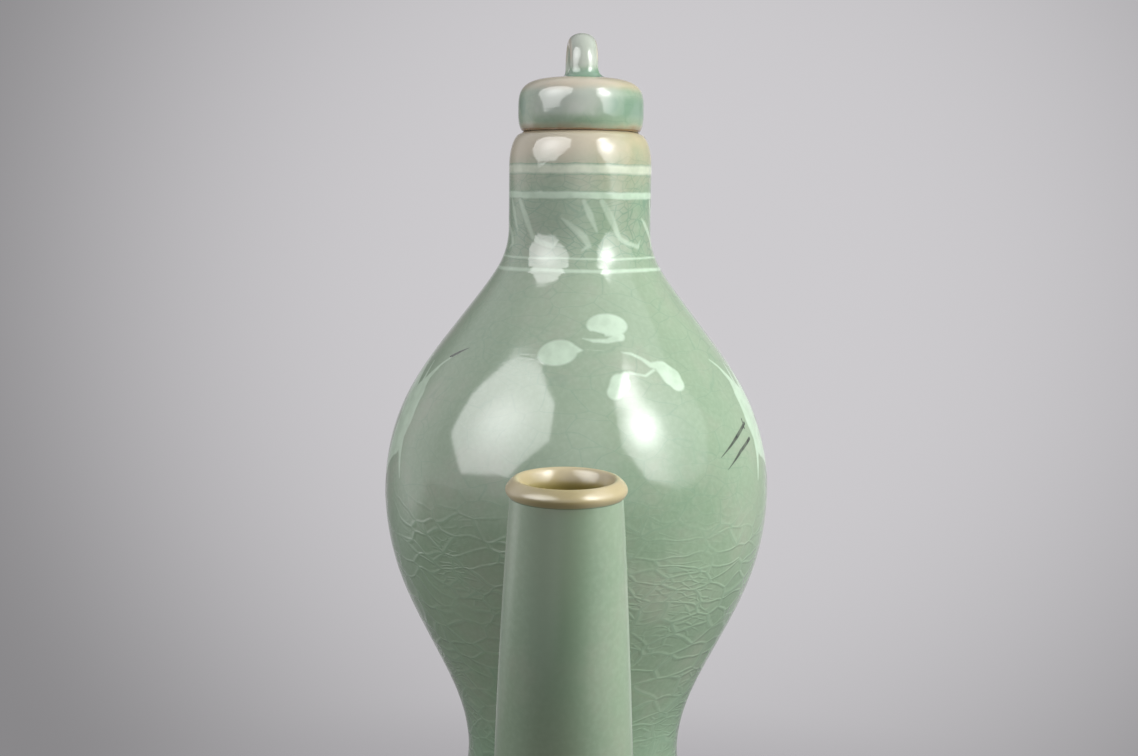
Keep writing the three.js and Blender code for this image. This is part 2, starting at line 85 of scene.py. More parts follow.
# %% Radius at a level
def flank_radius(shape, from_crest, inset):
    crest, crest_round, slope, narrow, narrow_round, height = shape
    outer, inner = crest_round - inset, narrow_round + inset
    from_end = np.maximum(height - from_crest, 0)
    round_part = crest - crest_round + np.sqrt(np.maximum(outer**2 - from_crest**2, 0))
    hollow_part = narrow + narrow_round - np.sqrt(np.maximum(inner**2 - from_end**2, 0))
    line_start = crest - inset - outer * (1 - math.cos(slope))
    straight_part = line_start - (from_crest - outer * math.sin(slope)) * math.tan(slope)
    near_crest = from_crest < outer * math.sin(slope)
    near_end = from_end < inner * math.sin(slope)
    return np.where(near_crest, round_part, np.where(near_end, hollow_part, straight_part))


def drawn_radius(level, inset):
    """The drawing's radius at a level between foot and rim, with the surface moved inwards by the inset."""
    under = UNDER_CENTRE + np.sqrt(np.maximum((BELLY_UNDER_ROUND - inset) ** 2 - (BELLY - level) ** 2, 0))
    into_lip = np.clip((level - RIM + LIP_HEIGHT) / LIP_HEIGHT, 0, 1)
    lip_turn = 0 if inset >= WALL else LIP_WIDTH * (1 - np.sqrt(1 - into_lip**2))
    zones = [level < BELLY, level < WAIST, level < BULB, level < NECK]
    radii = [
        under,
        flank_radius(BELLY_TOP, level - BELLY, inset),
        flank_radius(BULB_UNDER, BULB - level, inset),
        flank_radius(BULB_TOP, level - BULB, inset),
    ]
    return np.select(zones, radii, NECK_RADIUS - inset - lip_turn)


def body_radius(level, inset=0.0):
    """The drawn radius as a potter's hand leaves it, with the joins between arcs and slopes eased."""
    level = np.asarray(level, float)
    to_ends = np.minimum(level - FOOT_HEIGHT, (NECK + 2 - level) / 3)
    reach = np.clip(to_ends, 0, EASING)
    shares = np.linspace(-1, 1, EASING_STEPS)
    return np.mean([drawn_radius(level + share * reach, inset) for share in shares], axis=0)


print("radius at belly, waist, bulb and neck:", body_radius([BELLY, WAIST, BULB, NECK]).round(1))

# %% [markdown]
# ## The camera
# The photograph is a close view from the spout's side, a little above the shoulder and tilted slightly down.
# The distance comes from how strongly the near spout is enlarged against the bulb behind it.

# %% Camera
LENS, SENSOR, NEAREST = 45, 36, 0.02
CAMERA_DISTANCE, CAMERA_LEVEL = 0.3678, 0.282
CAMERA_SIDE, CAMERA_PITCH, CAMERA_ROLL = math.radians(0.93), math.radians(7.33), math.radians(0.7)
CAMERA_TURN = math.radians(0.346)


def linked(name, data):
    """A new object that holds this data, linked to the scene."""
    made = bpy.data.objects.new(name, data)
    bpy.context.scene.collection.objects.link(made)
    return made


camera = linked("camera", bpy.data.cameras.new("camera"))
camera.data.lens = LENS
camera.data.sensor_width = SENSOR
camera.data.clip_start = NEAREST
heading = CAMERA_TURN + CAMERA_SIDE
ahead = Vector((-math.sin(heading), math.cos(heading), 0)) * math.cos(CAMERA_PITCH)
ahead.z = -math.sin(CAMERA_PITCH)
right = ahead.cross(Vector((0, 0, 1))).normalized()
up = right.cross(ahead)
rolled_up = up * math.cos(CAMERA_ROLL) - right * math.sin(CAMERA_ROLL)
rolled_right = right * math.cos(CAMERA_ROLL) + up * math.sin(CAMERA_ROLL)
turn = Matrix((rolled_right, rolled_up, -ahead)).transposed().to_4x4()
viewpoint = Vector((math.sin(CAMERA_SIDE), -math.cos(CAMERA_SIDE), 0)) * CAMERA_DISTANCE
viewpoint.z = CAMERA_LEVEL
camera.matrix_world = Matrix.Translation(viewpoint) @ turn
bpy.context.scene.camera = camera
bpy.context.scene.view_settings.view_transform = "Standard"
print("camera at", [round(v, 3) for v in viewpoint])

# %% [markdown]
# ## A helper for node graphs
# Geometry and shader trees are built from code. This small class adds a node, sets its fields, and links or
# fills its sockets, so that a graph below reads as a list of steps.


# %% Node helper
def shade(red, green, blue):
    return (red, green, blue, 1.0)


class Graph:
    def __init__(self, tree):
        self.tree = tree

    def feed(self, socket, value):
        """Links a socket to another one or to a node's first output, or else sets its value."""
        if isinstance(value, bpy.types.Node):
            value = value.outputs[0]
        if isinstance(value, bpy.types.NodeSocket):
            self.tree.links.new(value, socket)
        else:
            socket.default_value = value

    def add(self, kind, inputs=None, **settings):
        node = self.tree.nodes.new(kind)
        for name, value in settings.items():
            setattr(node, name, value)
        for socket, value in (inputs or {}).items():
            self.feed(node.inputs[socket], value)
        return node

    def math(self, operation, *values):
        """One node for two values, or a chain of nodes for more."""

        def step(first, second):
            return self.add("ShaderNodeMath", {0: first, 1: second}, operation=operation)

        return reduce(step, values)

    times = partialmethod(math, "MULTIPLY")
    plus = partialmethod(math, "ADD")
    most = partialmethod(math, "MAXIMUM")

    def vector(self, operation, *values):
        node = self.add("ShaderNodeVectorMath", dict(enumerate(values)), operation=operation)
        return node.outputs["Value" if operation in ("DOT_PRODUCT", "LENGTH", "DISTANCE") else "Vector"]

    def span(self, value, low, high, start=0.0, end=1.0):
        """Goes smoothly from start to end while the value goes from low to high."""
        limits = {"Value": value, "From Min": low, "From Max": high, "To Min": start, "To Max": end}
        return self.add("ShaderNodeMapRange", limits, interpolation_type="SMOOTHSTEP").outputs["Result"]

    def mix(self, share, first, second):
        return self.add("ShaderNodeMix", {0: share, 6: first, 7: second}, data_type="RGBA").outputs[2]

    def layers(self, colour, *coats):
        """A colour under coats of (share, colour)."""
        return reduce(lambda under, coat: self.mix(coat[0], under, coat[1]), coats, colour)

    def here(self):
        """The shaded point in the object's own coordinates."""
        return self.add("ShaderNodeTexCoord").outputs["Object"]

    def axes(self, where):
        return self.add("ShaderNodeSeparateXYZ", {"Vector": where}).outputs

    def noise(self, where, scale, detail=2.0, rough=0.5, result="Fac"):
        inputs = {"Vector": where, "Scale": scale, "Detail": detail, "Roughness": rough}
        return self.add("ShaderNodeTexNoise", inputs).outputs[result]

    def mark(self, name):
        """A value that is stored on the piece's own points."""
        return self.add("ShaderNodeAttribute", attribute_name=name).outputs["Fac"]


def new_material(name):
    material = bpy.data.materials.new(name)
    material.use_nodes = True
    material.node_tree.nodes.clear()
    graph = Graph(material.node_tree)
    output = graph.add("ShaderNodeOutputMaterial")
    return material, graph, output.inputs["Surface"]


print("node helper ready")

# %% [markdown]
# ## Throwing on the wheel
# A thrown piece is an outline turned round the axis. Blender's Screw modifier or bmesh spin could do it. Here
# Geometry Nodes do it: Curve to Mesh carries the outline along a circle, which is just what a potter's rib
# does against the turning clay. The tree takes the outline, the number of steps and the finish.


# %% Lathe tree
def make_tree(name, number):
    """A tree that takes a geometry, a whole number and a finish, with its graph and its inputs."""
    tree = bpy.data.node_groups.new(name, "GeometryNodeTree")
    for label, kind in (("Geometry", "Geometry"), (number, "Int"), ("Finish", "Material")):
        tree.interface.new_socket(label, in_out="INPUT", socket_type="NodeSocket" + kind)
    tree.interface.new_socket("Geometry", in_out="OUTPUT", socket_type="NodeSocketGeometry")
    graph = Graph(tree)
    return tree, graph, graph.add("NodeGroupInput").outputs


def end_tree(graph, geometry, finish):
    """Ends a tree: its copies are made real and get the finish."""
    plain = graph.add("GeometryNodeRealizeInstances", {"Geometry": geometry})
    coated = graph.add("GeometryNodeSetMaterial", {"Geometry": plain, "Material": finish})
    graph.add("NodeGroupOutput", {"Geometry": coated})


AXLE, WELD = 0.01, 1e-6
lathe, graph, given = make_tree("lathe", "Steps")
outline = graph.add("GeometryNodeMeshToCurve", {"Mesh": given["Geometry"]})
circle = graph.add("GeometryNodeCurvePrimitiveCircle", {"Resolution": given["Steps"], "Radius": AXLE})
swept = graph.add("GeometryNodeCurveToMesh", {"Curve": circle, "Profile Curve": outline})
welded = graph.add("GeometryNodeMergeByDistance", {"Geometry": swept, "Distance": WELD})
end_tree(graph, welded, given["Finish"])
print("lathe tree has", len(lathe.nodes), "nodes")


# %% Grow a mesh with a tree
def grown(mesh, tree, **values):
    """The plain mesh that a tree makes of a mesh. The tree's inputs are set by their identifiers."""
    holder = linked("holder", mesh)
    modifier = holder.modifiers.new("grow", "NODES")
    modifier.node_group = tree
    for socket in tree.interface.items_tree:
        if socket.in_out == "INPUT" and socket.name in values:
            modifier[socket.identifier] = values[socket.name]
    depsgraph = bpy.context.evaluated_depsgraph_get()
    made = bpy.data.meshes.new_from_object(holder.evaluated_get(depsgraph), depsgraph=depsgraph)
    bpy.data.objects.remove(holder)
    bpy.data.meshes.remove(mesh)
    return made


def enclosed_volume(mesh):
    """In cubic metres. It is negative if the faces of a closed mesh point inwards."""
    mesh.calc_loop_triangles()
    corners = np.empty(len(mesh.loop_triangles) * 3, np.int32)
    mesh.loop_triangles.foreach_get("vertices", corners)
    triangles = points_of(mesh)[corners.reshape(-1, 3)]
    return float((triangles[:, 0] * np.cross(triangles[:, 1], triangles[:, 2])).sum() / 6)


def facing_out(mesh):
    if enclosed_volume(mesh) < 0:
        mesh.flip_normals()
    return mesh


def points_of(mesh):
    points = np.empty(len(mesh.vertices) * 3, np.float32)
    mesh.vertices.foreach_get("co", points)
    return points.reshape(-1, 3).astype(float)


def turned(outline_points, finish, closed=True, steps=192):
    """A mesh turned from an outline of (radius, level) points in millimetres."""
    radii_and_levels = np.array(outline_points, float) * MM
    points = [(radius - AXLE, -level, 0) for radius, level in radii_and_levels]
    edges = [(i, i + 1) for i in range(len(points) - 1)]
    if closed:
        edges.append((len(points) - 1, 0))
    mesh = bpy.data.meshes.new("outline")
    mesh.from_pydata(points, edges, [])
    return facing_out(grown(mesh, lathe, Steps=steps, Finish=finish))


print("turning ready")

# %% [markdown]
# ## The studio
# The photograph has a plain lavender-grey backdrop and two large octagonal softboxes, which show as the pale
# polygons on the bulb. The backdrop is one round sweep, so every view sees it. The camera sees it as a soft
# pool of light, and near the ewer it is a matt floor that keeps the shadow. The glaze mirrors the rest of
# the room, which is pale in front of the ewer and to its left, and dark to its right and low down.

# %% Backdrop
POOL_AHEAD = Vector((0.05, 1.0, -0.06)).normalized()
POOL_EDGE, SIDE_EDGE = 0.86, 0.5
EDGE_GREY, POOL_GREY, SIDE_LIFT = 0.25, 0.61, 0.6
LEFT_GREY, FRONT_GREY, RIGHT_SHARE = 0.72, 0.98, 0.12
NEAR_SHARE, FAR_SHARE, NEAR_FLOOR, LOW_WALL = 0.12, 0.6, 0.25, 0.26
LIFT_FADE, LEFT_FADE, RIGHT_FADE = (1.2, -0.6), (-1.6, 0.2), (0.3, 1.8)
FLOOR_FADE, FRONT_FADE = (0.0, -0.4), (0.4, 0.05)
GREEN_SHARE, BLUE_SHARE = 0.978, 1.012
MATT_RADIUS, GLOW_RADIUS = 0.2, 0.42
SWEEP_FLOOR, SWEEP_ROUND, SWEEP_TOP = 1600, 700, 2600
MATT_PAPER, SEEN_PAPER = shade(0.16, 0.157, 0.163), shade(0.49, 0.479, 0.495)

backdrop_finish, graph, surface = new_material("backdrop_paper")
where = graph.here()
facing = graph.vector("NORMALIZE", graph.vector("SUBTRACT", where, tuple(viewpoint)))
facing = graph.vector("DOT_PRODUCT", facing, tuple(POOL_AHEAD))
spot = graph.axes(where)
path = graph.add("ShaderNodeLightPath").outputs
mirrored_ray = path["Is Glossy Ray"]
to_side = graph.span(facing, POOL_EDGE, SIDE_EDGE, 0.0, SIDE_LIFT)
left_lift = graph.times(to_side, graph.span(spot["X"], *LIFT_FADE), mirrored_ray)
pool_grey = graph.plus(graph.span(facing, POOL_EDGE, 1.0, EDGE_GREY, POOL_GREY), left_lift)
from_axis = graph.vector("LENGTH", graph.vector("MULTIPLY", where, (1, 1, 0)))
floor_share = graph.span(from_axis, NEAR_FLOOR, SWEEP_FLOOR * MM, NEAR_SHARE, FAR_SHARE)
floor_share = graph.times(floor_share, graph.span(spot["X"], *FLOOR_FADE, RIGHT_SHARE, 1.0))
wall_share = graph.span(spot["Z"], 0.0, LOW_WALL, NEAR_SHARE, 1.0)
mirror_grey = graph.span(spot["X"], *LEFT_FADE, LEFT_GREY, FRONT_GREY)
side_share = graph.span(spot["X"], *RIGHT_FADE, 1.0, RIGHT_SHARE)
mirror_grey = graph.times(mirror_grey, side_share, graph.most(floor_share, wall_share))
front_share = graph.times(mirrored_ray, graph.span(spot["Y"], *FRONT_FADE))
grey = graph.add("ShaderNodeMix", {0: front_share, 2: pool_grey, 3: mirror_grey})
green, blue = graph.times(grey, GREEN_SHARE), graph.times(grey, BLUE_SHARE)
tint = graph.add("ShaderNodeCombineColor", {"Red": grey, "Green": green, "Blue": blue})
glow = graph.add("ShaderNodeEmission", {"Color": tint})
paper = graph.mix(path["Is Camera Ray"], MATT_PAPER, SEEN_PAPER)
matt = graph.add("ShaderNodeBsdfDiffuse", {"Color": paper})
seen = graph.most(path["Is Camera Ray"], mirrored_ray, path["Is Transmission Ray"])
shown = graph.times(seen, graph.span(from_axis, MATT_RADIUS, GLOW_RADIUS))
graph.feed(surface, graph.add("ShaderNodeMixShader", {0: shown, 1: matt, 2: glow}))

sweep = [(0, 0), (400, 0), (SWEEP_FLOOR, 0)]
for degrees in range(6, 91, 6):
    a = math.radians(degrees)
    sweep.append((SWEEP_FLOOR + SWEEP_ROUND * math.sin(a), SWEEP_ROUND * (1 - math.cos(a))))
sweep.append((SWEEP_FLOOR + SWEEP_ROUND, SWEEP_TOP))
backdrop_mesh = turned(sweep, backdrop_finish, closed=False, steps=96)
backdrop_mesh.shade_smooth()
backdrop = linked("backdrop", backdrop_mesh)
backdrop.visible_diffuse = False
print("backdrop faces:", len(backdrop_mesh.polygons))

# %% Softboxes and sky
EWER_MIDDLE = (0, 0, 0.22)


def aimed(place, aim):
    """A place in metres, turned so that its +Z axis points at the aim."""
    place = Vector(place)
    turn = (Vector(aim) - place).to_track_quat("Z", "Y").to_matrix().to_4x4()
    return Matrix.Translation(place) @ turn


def softbox(name, place, aim, radius, turn_degrees, lower, upper, glows):
    """An octagon of cloth, lit from its lower to its upper edge, with (middle, reach, strength) glows."""
    finish, graph, surface = new_material(name + "_cloth")
    spot = graph.here()
    bright = graph.span(graph.axes(spot)["Y"], -radius, radius, lower, upper)
    for middle, reach, strength in glows:
        away = graph.vector("DISTANCE", spot, middle)
        bright = graph.plus(bright, graph.span(away, 0.0, reach, strength, 0.0))
    cloth = graph.add("ShaderNodeEmission", {"Strength": bright})
    hidden = graph.add("ShaderNodeBsdfTransparent")
    back = graph.add("ShaderNodeNewGeometry").outputs["Backfacing"]
    graph.feed(surface, graph.add("ShaderNodeMixShader", {0: back, 1: cloth, 2: hidden}))
    mesh = bpy.data.meshes.new(name)
    angles = [math.radians(turn_degrees + 45 * k) for k in range(8)]
    rim = [(radius * math.cos(a), radius * math.sin(a), 0) for a in angles]
    mesh.from_pydata(rim, [], [list(range(8))])
    mesh.materials.append(finish)
    lamp = linked(name, mesh)
    lamp.matrix_world = aimed(place, aim)
    lamp.visible_camera = False
    lamp.visible_diffuse = False
    lamp.visible_shadow = False


def key_light(name, place, size, watts):
    """A round lamp that lights the ewer but shows in no reflection."""
    data = bpy.data.lights.new(name, "AREA")
    data.shape, data.size, data.energy = "DISK", size, watts
    lamp = linked(name, data)
    lamp.matrix_world = aimed(place, EWER_MIDDLE) @ Matrix.Rotation(math.pi, 4, "X")
    lamp.visible_glossy = False


LEFT_AIM = (-0.12, 0.31, 0.89)
left_cloth = {"radius": 0.675, "turn_degrees": 17.9, "lower": 2.7, "upper": 3.5}
left_glows = [((-0.08, -0.16, 0), 0.5, 1.8)]
softbox("softbox_left", (-0.75, -0.46, 0.975), LEFT_AIM, glows=left_glows, **left_cloth)
right_cloth = {"radius": 0.339, "turn_degrees": 0, "lower": 0.8, "upper": 0.8}
right_glows = [
    ((0.17, 0.05, 0), 0.42, 1.6),
    ((0.14, 0.05, 0), 0.18, 6.0),
    ((0.12, 0.25, 0), 0.15, 5.0),
    ((0.22, -0.17, 0), 0.3, 1.3),
]
softbox("softbox_right", (0.456, -0.239, 0.528), EWER_MIDDLE, glows=right_glows, **right_cloth)
key_light("key_left", (-0.45, -0.02, 0.3), size=0.38, watts=0.7)
key_light("key_right", (0.355, -0.14, 0.515), size=0.34, watts=2.25)
key_light("key_low", (0.344, -0.14, 0.22), size=0.32, watts=0.6)
sky = bpy.data.worlds.new("sky")
bpy.context.scene.world = sky
sky.use_nodes = True
graph = Graph(sky.node_tree)
upward = graph.axes(graph.add("ShaderNodeTexCoord").outputs["Generated"])["Z"]
background = sky.node_tree.nodes["Background"].inputs
background["Color"].default_value = shade(0.5, 0.49, 0.51)
fill = graph.span(upward, -0.5, 0.9, 0.42, 0.98)
mirrored_ray = graph.add("ShaderNodeLightPath").outputs["Is Glossy Ray"]
graph.feed(background["Strength"], graph.times(fill, graph.span(mirrored_ray, 0.0, 1.0, 1.0, 1.6)))
print("two softboxes, three lamps and a grey sky")

# %% [markdown]
# ## Celadon glaze
# Celadon is a thick, slightly milky grey-green glass. It shrinks more than the clay, so it breaks into a net
# of fine raised lines. A Voronoi texture's distance to its cell borders gives such a net. Noise bends the
# lines, and a stretch along the height makes the cells wider than tall. A second, finer net shows in patches
# and all over the neck. The lines stand out below the bulb's widest level and are nearly flat above it.


# %% Crackle
NET_SWAYS, NET_STRETCH = ((32, 0.012), (100, 0.004)), 2.2
LARGE_NET, SMALL_NET, CRACK_HALF = (100, 0.0012), (210, 0.0008), 0.0003
NECK_START, NECK_END, BULB_FADE = (0.258, 0.27), (0.298, 0.286), (0.196, 0.214)
FLAT_NET, BODY_CRACKS, NECK_CRACKS = 0.03, 0.22, 0.5


def crackle_net(graph, where, fine):
    """The raised lines and the thin cracks, 1 on a line. The finer net is all over where fine is 1."""
    bent = where
    for scale, reach in NET_SWAYS:
        sway = graph.vector("SUBTRACT", graph.noise(where, scale, 1.0, result="Color"), (0.5, 0.5, 0.5))
        bent = graph.vector("ADD", bent, graph.vector("MULTIPLY", sway, (reach, reach, reach)))
    stretched = graph.vector("MULTIPLY", bent, (1.0, 1.0, NET_STRETCH))
    broken = graph.span(graph.noise(where, 75, 1.0), 0.36, 0.54, 0.55, 1.0)
    patches = graph.span(graph.noise(where, 38, 1.0), 0.5, 0.64, 0.0, 0.7)

    def lines(scale, half_width, share):
        inputs = {"Vector": stretched, "Scale": scale}
        cells = graph.add("ShaderNodeTexVoronoi", inputs, feature="DISTANCE_TO_EDGE").outputs["Distance"]
        halves = (half_width, CRACK_HALF)
        return [graph.times(graph.span(cells, 0.0, half * scale, 1.0, 0.0), share) for half in halves]

    nets = zip(lines(*LARGE_NET, broken), lines(*SMALL_NET, graph.times(graph.most(patches, fine), broken)))
    return [graph.most(*net) for net in nets]


SAGE, JADE, STONE = shade(0.31, 0.41, 0.28), shade(0.24, 0.35, 0.23), shade(0.36, 0.39, 0.30)
PALE, POOL, MILK = shade(0.41, 0.54, 0.39), shade(0.13, 0.27, 0.18), shade(0.46, 0.50, 0.43)
TAN, GOLD = shade(0.57, 0.49, 0.36), shade(0.57, 0.46, 0.25)
UMBER, OLIVE = shade(0.24, 0.15, 0.07), shade(0.32, 0.26, 0.08)

glaze = bpy.data.node_groups.new("celadon_glaze", "ShaderNodeTree")
for label, kind in (("Colour", "Color"), ("Relief", "Float"), ("Gloss", "Float")):
    glaze.interface.new_socket(label, in_out="OUTPUT", socket_type="NodeSocket" + kind)
graph = Graph(glaze)
where = graph.here()
level = graph.axes(where)["Z"]
on_neck = graph.times(graph.span(level, *NECK_START), graph.span(level, *NECK_END))
lively = graph.span(graph.mark("calm"), 0.0, 0.7, 1.0, 0.0)
raised, cracks = crackle_net(graph, where, on_neck)
net_height = graph.plus(graph.span(level, *BULB_FADE, 1.0, FLAT_NET), graph.times(on_neck, FLAT_NET))
net = graph.times(raised, lively, net_height)
cracks = graph.times(cracks, lively, graph.span(on_neck, 0.0, 1.0, BODY_CRACKS, NECK_CRACKS))
cloudy = graph.noise(where, 16, 3.0)
patchy = graph.noise(where, 60, 4.0, 0.6)
grain = graph.noise(where, 900, 2.0)
colour = graph.layers(
    SAGE,
    (graph.span(cloudy, 0.35, 0.68), JADE),
    (graph.span(patchy, 0.45, 0.75, 0.0, 0.55), STONE),
    (graph.span(grain, 0.35, 0.75, 0.0, 0.16), PALE),
    (graph.times(net, 0.25), PALE),
    (cracks, POOL),
)
print("glaze base colours set")

# %% [markdown]
# On an edge the glaze runs thin and the iron in the clay shows tan or brown through it. In a hollow it runs
# thick and turns a deeper green. Each piece carries these places as values on its points, named `thin`,
# `gold`, `pool`, `bare`, `olive`, `milky` and `mottled`, and noise makes some of their borders uneven. On the
# spout's front, `pool` and `olive` also carry painted shade, darker towards the lip. One more value, `calm`,
# takes away the crackle and dulls the gloss.


# %% Glaze on edges and in hollows
def ragged(name, low, high):
    """A mark's value with an uneven border."""
    uneven = graph.times(graph.math("SUBTRACT", patchy, 0.5), 0.9)
    return graph.span(graph.plus(graph.mark(name), uneven), low, high)


blotch = graph.noise(where, 120, 2.0)
mottled = graph.mark("mottled")
colour = graph.layers(
    colour,
    (graph.times(mottled, graph.span(blotch, 0.5, 0.62, 0.0, 0.6)), POOL),
    (graph.times(mottled, graph.span(blotch, 0.5, 0.38, 0.0, 0.6)), MILK),
    (graph.mark("milky"), MILK),
    # pool: deeper green where the glaze gathers, and painted shade on the spout's front; olive: the spout's
    # bore, and painted shade on its front
    (graph.times(graph.mark("pool"), 0.75), POOL),
    (graph.times(ragged("thin", 0.2, 0.95), 0.85), graph.mix(graph.mark("gold"), TAN, GOLD)),
    (ragged("bare", 0.35, 0.8), UMBER),
    (graph.mark("olive"), OLIVE),
)
swell = graph.times(graph.noise(where, 28, 1.0), 0.04)
peel = graph.times(graph.noise(where, 240, 1.0), 0.012)
relief = graph.plus(graph.times(net, 0.11), swell, peel)
satin = graph.times(graph.mark("calm"), 0.2)
gloss = graph.plus(graph.span(cloudy, 0.3, 0.7, 0.07, 0.12), satin)
graph.add("NodeGroupOutput", {"Colour": colour, "Relief": relief, "Gloss": gloss})
print("celadon glaze group has", len(glaze.nodes), "nodes")


# %% Finishes under the glaze
GLAZE_IOR, GLAZE_SHINE = 1.62, 1.0


def glazed(name, slip=None, cover=1.0, soft_edge=1.0):
    """A finish under celadon: the plain clay, or a coloured slip that fades out over its soft edge."""
    material, graph, surface = new_material(name)
    coat = graph.add("ShaderNodeGroup", node_tree=glaze).outputs
    colour = coat["Colour"]
    if slip:
        brushed = graph.span(graph.noise(graph.here(), 330, 3.0), 0.3, 0.65, 0.72, 1.0)
        body = graph.span(graph.mark("edge"), 0.0, soft_edge)
        colour = graph.mix(graph.times(body, brushed, cover), colour, slip)
    bump = graph.add("ShaderNodeBump", {"Height": coat["Relief"], "Distance": MM, "Strength": 1.0})
    skin = {"Base Color": colour, "Normal": bump, "Roughness": coat["Gloss"], "IOR": GLAZE_IOR}
    skin["Specular IOR Level"] = GLAZE_SHINE
    graph.feed(surface, graph.add("ShaderNodeBsdfPrincipled", skin))
    return material


celadon = glazed("celadon")
white_slip = glazed("white_slip", shade(0.55, 0.71, 0.54), cover=1.0, soft_edge=0.8)
band_slip = glazed("band_slip", shade(0.63, 0.69, 0.53), cover=0.95, soft_edge=0.9)
line_slip = glazed("line_slip", shade(0.56, 0.72, 0.55), cover=0.85, soft_edge=0.6)
thin_slip = glazed("thin_white_slip", shade(0.56, 0.70, 0.54), cover=0.6, soft_edge=0.8)
black_slip = glazed("black_slip", shade(0.035, 0.04, 0.035), cover=0.92, soft_edge=0.12)
finishes = (celadon, white_slip, band_slip, line_slip, thin_slip, black_slip)
print("glazed finishes:", [finish.name for finish in finishes])

# %% [markdown]
# ## Bare clay
# The foot ring and the lid's flange are wiped clean of glaze, so that they don't stick in the kiln. Fired
# stoneware is buff with rusty flashes, matt, and a little gritty.

# %% Bare clay
bare_clay, graph, surface = new_material("bare_clay")
where = graph.here()
flash = graph.noise(where, 45, 3.0)
grit = graph.noise(where, 1400, 3.0, 0.7)
colour = graph.mix(graph.span(flash, 0.35, 0.7), shade(0.45, 0.31, 0.19), shade(0.36, 0.19, 0.09))
colour = graph.mix(graph.span(grit, 0.58, 0.72, 0.0, 0.6), colour, shade(0.16, 0.10, 0.06))
bump = graph.add("ShaderNodeBump", {"Height": grit, "Distance": 0.00012, "Strength": 0.8})
skin = {"Base Color": colour, "Normal": bump, "Roughness": graph.span(grit, 0.3, 0.7, 0.72, 0.92)}
graph.feed(surface, graph.add("ShaderNodeBsdfPrincipled", skin))
print("bare clay ready")


# %% Piece helpers
def marked(mesh, **marks):
    """Stores values on a mesh's points for the finishes to read."""
    for name, values in marks.items():
        field = mesh.attributes.new(name, "FLOAT", "POINT")
        field.data.foreach_set("value", np.asarray(values, np.float32))
    return mesh


def piece(name, mesh, body, nodes=(), sharp_degrees=40):
    """A finished piece: shaded smooth, riding on its body and standing for its CAD nodes."""
    mesh.name = name
    mesh.shade_smooth()
    mesh.set_sharp_from_angle(angle=math.radians(sharp_degrees))
    made = linked(name, mesh)
    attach(made, body)
    if nodes:
        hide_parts(*nodes)
    print(f"{name}: {len(mesh.polygons)} faces")


def fade(values, start, end):
    """0 at start and 1 at end, smoothly, for arrays."""
    share = np.clip((np.asarray(values, float) - start) / (end - start), 0, 1)
    return share * share * (3 - 2 * share)


def levels_between(start, end, step):
    return np.linspace(start, end, max(int(abs(end - start) / step), 1) + 1)


print("piece helpers ready")

# %% [markdown]
# ## The two bulbs
# Both bulbs are thrown apart and joined at the waist. Their outlines run up the outside, over the edge and
# down the inside, so each is a closed wall. The glaze thins on the rim and gathers at the waist.

# %% Lower bulb
outside = levels_between(FOOT_HEIGHT, WAIST, step=1.2)
inside = levels_between(WAIST, FOOT_HEIGHT + FLOOR, step=3)
lower_outline = [(0, FOOT_HEIGHT)]
lower_outline += list(zip(body_radius(outside), outside))
lower_outline += list(zip(body_radius(inside, WALL), inside))
lower_outline.append((0, FOOT_HEIGHT + FLOOR))
lower_mesh = turned(lower_outline, celadon, closed=False)
levels = points_of(lower_mesh)[:, 2] / MM
marked(lower_mesh, pool=0.5 * fade(levels, WAIST - 18, WAIST), thin=0.8 * fade(levels, 12, 8))
piece("lower_bulb_glazed", lower_mesh, "vessel", ["lower_bulb"])

# %% Upper bulb
lip_levels = RIM - LIP_HEIGHT * np.cos(np.linspace(0, math.pi / 2, 14)[1:])
outside = np.concatenate([levels_between(WAIST, RIM - LIP_HEIGHT, step=1.0), lip_levels])
inside = levels_between(NECK, WAIST, step=3)
mouth = NECK_RADIUS - WALL
upper_outline = list(zip(body_radius(outside), outside))
upper_outline += [(mouth + 0.35, RIM), (mouth + 0.1, RIM - 0.1), (mouth, RIM - 0.4)]
upper_outline.append((mouth, (RIM + NECK) / 2))
upper_outline += list(zip(body_radius(inside, WALL), inside))
upper_mesh = turned(upper_outline, celadon)
spots = points_of(upper_mesh) / MM
levels = spots[:, 2]
waist_pool = 0.25 * fade(levels, WAIST + 26, WAIST)
flame_side = fade(spots[:, 0], 2, 16)
neck_thin = 0.4 * fade(levels, RIM - 24, RIM - 12) + 0.6 * fade(levels, RIM - 12, RIM - 1.5)
marked(upper_mesh, pool=waist_pool, thin=neck_thin * (1 - 0.35 * flame_side), gold=0.8 * flame_side)
piece("upper_bulb_glazed", upper_mesh, "vessel", ["upper_bulb"])

# %% [markdown]
# ## Foot, lid and flange
# They are turned in the same way. The lid is a cushion with a rounded edge, where the glaze breaks to tan,
# and a bare line where it sits on the rim.

# %% Foot ring
CLAY_SHARP = 60
inner = FOOT_RADIUS - FOOT_WIDTH
foot_outline = [(inner + 0.6, 0), (FOOT_RADIUS - 0.4, 0), (FOOT_RADIUS + 0.5, 0.3), (FOOT_RADIUS + 1, 1)]
foot_outline += [(FOOT_RADIUS + 1.5, 4.5), (FOOT_RADIUS + FOOT_SPLAY, FOOT_HEIGHT)]
foot_outline += [(inner - 1, FOOT_HEIGHT), (inner - 0.5, 4), (inner, 0.6)]
piece("foot_ring_bare", turned(foot_outline, bare_clay), "vessel", ["foot_ring"], CLAY_SHARP)

# %% Lid
LID_RADIUS, LID_SEAT, LID_UNDER, LID_TOP, LID_HOLLOW = 16, 14.7, 4.4, 9.2, 7.5
LID_CUSHION = 3.9
FLANGE_OUTER, FLANGE_INNER, FLANGE_DEPTH = 12.6, 9.4, 9
LID_CREST = RIM + LID_UNDER + LID_TOP

